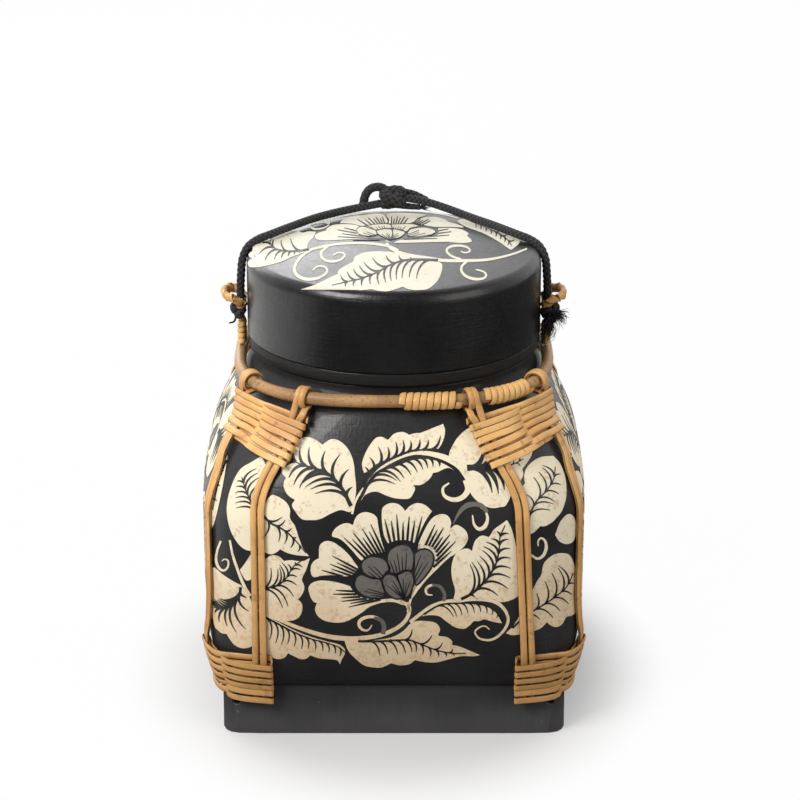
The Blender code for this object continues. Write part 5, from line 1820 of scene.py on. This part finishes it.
# %% Lid flower
LID_PETALS = [
    ("""315.4,238.4! 315,235.7 319.6,232.7 326.6,230.7! 326.2,229.6 331,226 338,224.6 350,224.6 359,226.6
     355.6,229.8 357.3,234.4 367,237.6 381,239.2 390,242.3 381,240.9 367,239.6 352,239.4 332,240.4
     320,240.4""", 6, 186, 164, 0.66, 1.3),
    ("""340,223.2! 343,220 352,217.3 367.6,214.6 376,213.9 384,215.5 387,219.5 386.5,223.2 373,224.4
     362,225.9 352,223.9""", 7, 152, 108, 0.66, 1.3),
    ("""388.5,223.4! 389,219.5 386.5,214.9 396,213.1 411,213.6 425.5,215.4 418,218.2 412.8,222.4 403.5,223.8
     396,224.2""", 6, 92, 48, 0.66, 1.3),
    ("""414.5,223! 418.5,219.6 426,217.2 437,217.5 446.2,220! 448.4,222 457.6,224.6 463.6,227.5 451,227
     437,227 424,225.2""", 6, 42, 24, 0.66, 1.3),
    ("""438,228.6! 451,228.2 461.6,229.8 468.6,233.7 466.2,235.8! 471.2,239.8 470.6,242.2 461.6,243.2
     446,241.7 431,239.8 418,239.3 405,240.4 394,243.3 400,240.4 418,237.6 431,237.2 438,234.7""",
     6, 18, 0, 0.66, 1.3)]
LID_INNER = [
    ("357,230.8! 359,228 366.5,227 374.5,230.4 376,234.8 366.5,236 359,234", 4, 176, 158, 0.6, 0.8),
    ("364,226.7! 373,225.1 384,224.3 390,225.2 391.6,228.4 384,228.6 376.2,229.9", 5, 150, 112, 0.6, 0.8),
    ("391,224.9! 403,224.6 412,224.4 418,226.6 410,228.4 406,231.4 397,229.4 393,228.6",
     5, 82, 40, 0.6, 0.8),
    ("408,233.4! 411.6,229.6 424,228 434.6,230.8 431.6,234.6 419,236.4 409,236.4", 4, 22, 6, 0.6, 0.8),
    ("389.6,239.6! 380.6,235.6 376.6,231.8 383.6,229.8 391.6,230.4 391.8,235", 4, 152, 100, 0.6, 0.8),
    ("391.4,239.6! 393.6,235 392.8,230.4 401.6,230.4 404.6,233.4 399.6,237.2", 4, 80, 28, 0.6, 0.8)]
petals(lid_sheet, LID_PETALS, (391, 240))
petals(lid_sheet, LID_INNER, (391, 241), "grey", 0.5, 0.7)
for name, material, proud in (("cream", LID_CREAM_PAINT, 0.00018), ("grey", LID_TONED_PAINT, 0.00024),
                              ("line", BRUSH_BLACK, 0.00030)):
    wrap(lid_sheet[name], on_lid, proud, 6.0)
    paint_piece(f"lid_paint_{name}", lid_sheet[name], material, "lid", "lid_lacquer")

# %% [markdown]
# ## Floor and light
#
# The photograph is a white studio shot: one broad key light from the upper left, white all round and a soft shadow in
# front. The floor is white to the camera away from the basket, which its material does with Is Camera Ray, so the
# lamps can stay at a plain level. Near the basket less glow lets the real shadow show, together with painted shade
# round the foot, and to reflections the floor carries painted light, dark in front and white behind on the left.

# %% Studio
def floor_material():
    """White to the camera away from the basket, real shadow with painted shade near it; grey card to the basket's
    underside, painted light to reflections.
    """
    f = Finish("studio_floor", 0.9)
    f.set("Base Color", (0.62, 0.62, 0.625))
    glow = f.node("ShaderNodeEmission", None, {"Color": (1.0, 1.0, 1.0), "Strength": 1.0})
    camera_ray = f.node("ShaderNodeLightPath", output="Is Camera Ray")
    out = f.tree.nodes["Material Output"]
    surface = Wire(f, f.shader.outputs[0])
    away = f.node("ShaderNodeVectorMath", {"operation": "LENGTH"}, {0: f.place(scale=(1.25, 1, 1))},
                  output="Value")
    # Painted shade round the foot: near the basket less white glow is mixed in, so the floor there shows its real
    # shadow and is also greyer all round.
    share = f.band(away, 0.118, 0.195, 0.22, 0.97)
    to_camera = f.node("ShaderNodeMixShader", None, {0: share, 1: surface, 2: glow})
    # Painted light for reflections only: the floor is dark in front and white behind on the left.
    behind = f.band(f.part("Y") * 0.75 - f.part("X") * 0.66, 0.0, 0.50)
    mirrored_ray = f.node("ShaderNodeLightPath", output="Is Glossy Ray")
    dark, grey, white = (f.node("ShaderNodeBsdfDiffuse", None, {"Color": (part, part, part)})
                         for part in (0.08, 0.42, 0.86))
    reflected_floor_painted_light = f.node("ShaderNodeMixShader", None, {0: behind, 1: dark, 2: white})
    to_basket = f.node("ShaderNodeMixShader", None, {0: mirrored_ray, 1: grey, 2: reflected_floor_painted_light})
    mixed = f.node("ShaderNodeMixShader", None, {0: camera_ray, 1: to_basket, 2: to_camera})
    f.feed(out.inputs["Surface"], mixed)
    return f.material


bm = bmesh.new()
bmesh.ops.create_grid(bm, x_segments=1, y_segments=1, size=3.0)
floor = finish_mesh("floor", bm, floor_material(), body=None)
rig.stage(floor)


def lamp(name, at, size, power, tint=(1, 1, 1)):
    light = bpy.data.lights.new(name, "AREA")
    light.shape = "RECTANGLE"
    light.size, light.size_y = size
    light.energy = power
    light.color = tint
    thing = bpy.data.objects.new(name, light)
    thing.location = at
    aim = Vector((0, 0, 0.12)) - Vector(at)
    thing.rotation_euler = aim.to_track_quat("-Z", "Y").to_euler()
    SCENE.collection.objects.link(thing)


lamp("key", (-1.05, -1.0, 1.35), (0.9, 0.9), 34, (1.0, 0.985, 0.955))
lamp("fill", (1.3, -0.9, 0.8), (1.0, 1.0), 9, (1.0, 0.97, 0.93))
lamp("back", (-0.72, 1.5, 0.85), (1.6, 1.0), 14)

world = bpy.data.worlds.new("studio")
SCENE.world = world
sky = Nodes(world)
background = sky.tree.nodes["Background"]
sky.feed(background.inputs["Color"], (1.0, 1.0, 1.0))
room = sky.band(sky.part("Y", "Generated"), -0.35, 0.55, 0.12, 1.1)
seen = sky.node("ShaderNodeLightPath", output="Is Camera Ray")
strength = sky.node("ShaderNodeMix", {"data_type": "FLOAT"}, {0: seen, 2: room, 3: 1.0})
sky.feed(background.inputs["Strength"], strength)
SCENE.view_settings.view_transform = "Standard"
print("studio lit")

# Both boxes, the CAD one and the shown one, are written down.

# %% Write the two boxes
visual_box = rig.bounds()
with open("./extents.json", "w") as file:
    json.dump({"cad": [list(corner) for corner in CAD_BOX],
               "visual": [list(corner) for corner in visual_box]}, file)
print("visual box:", [[round(v * 1000, 1) for v in corner] for corner in visual_box])
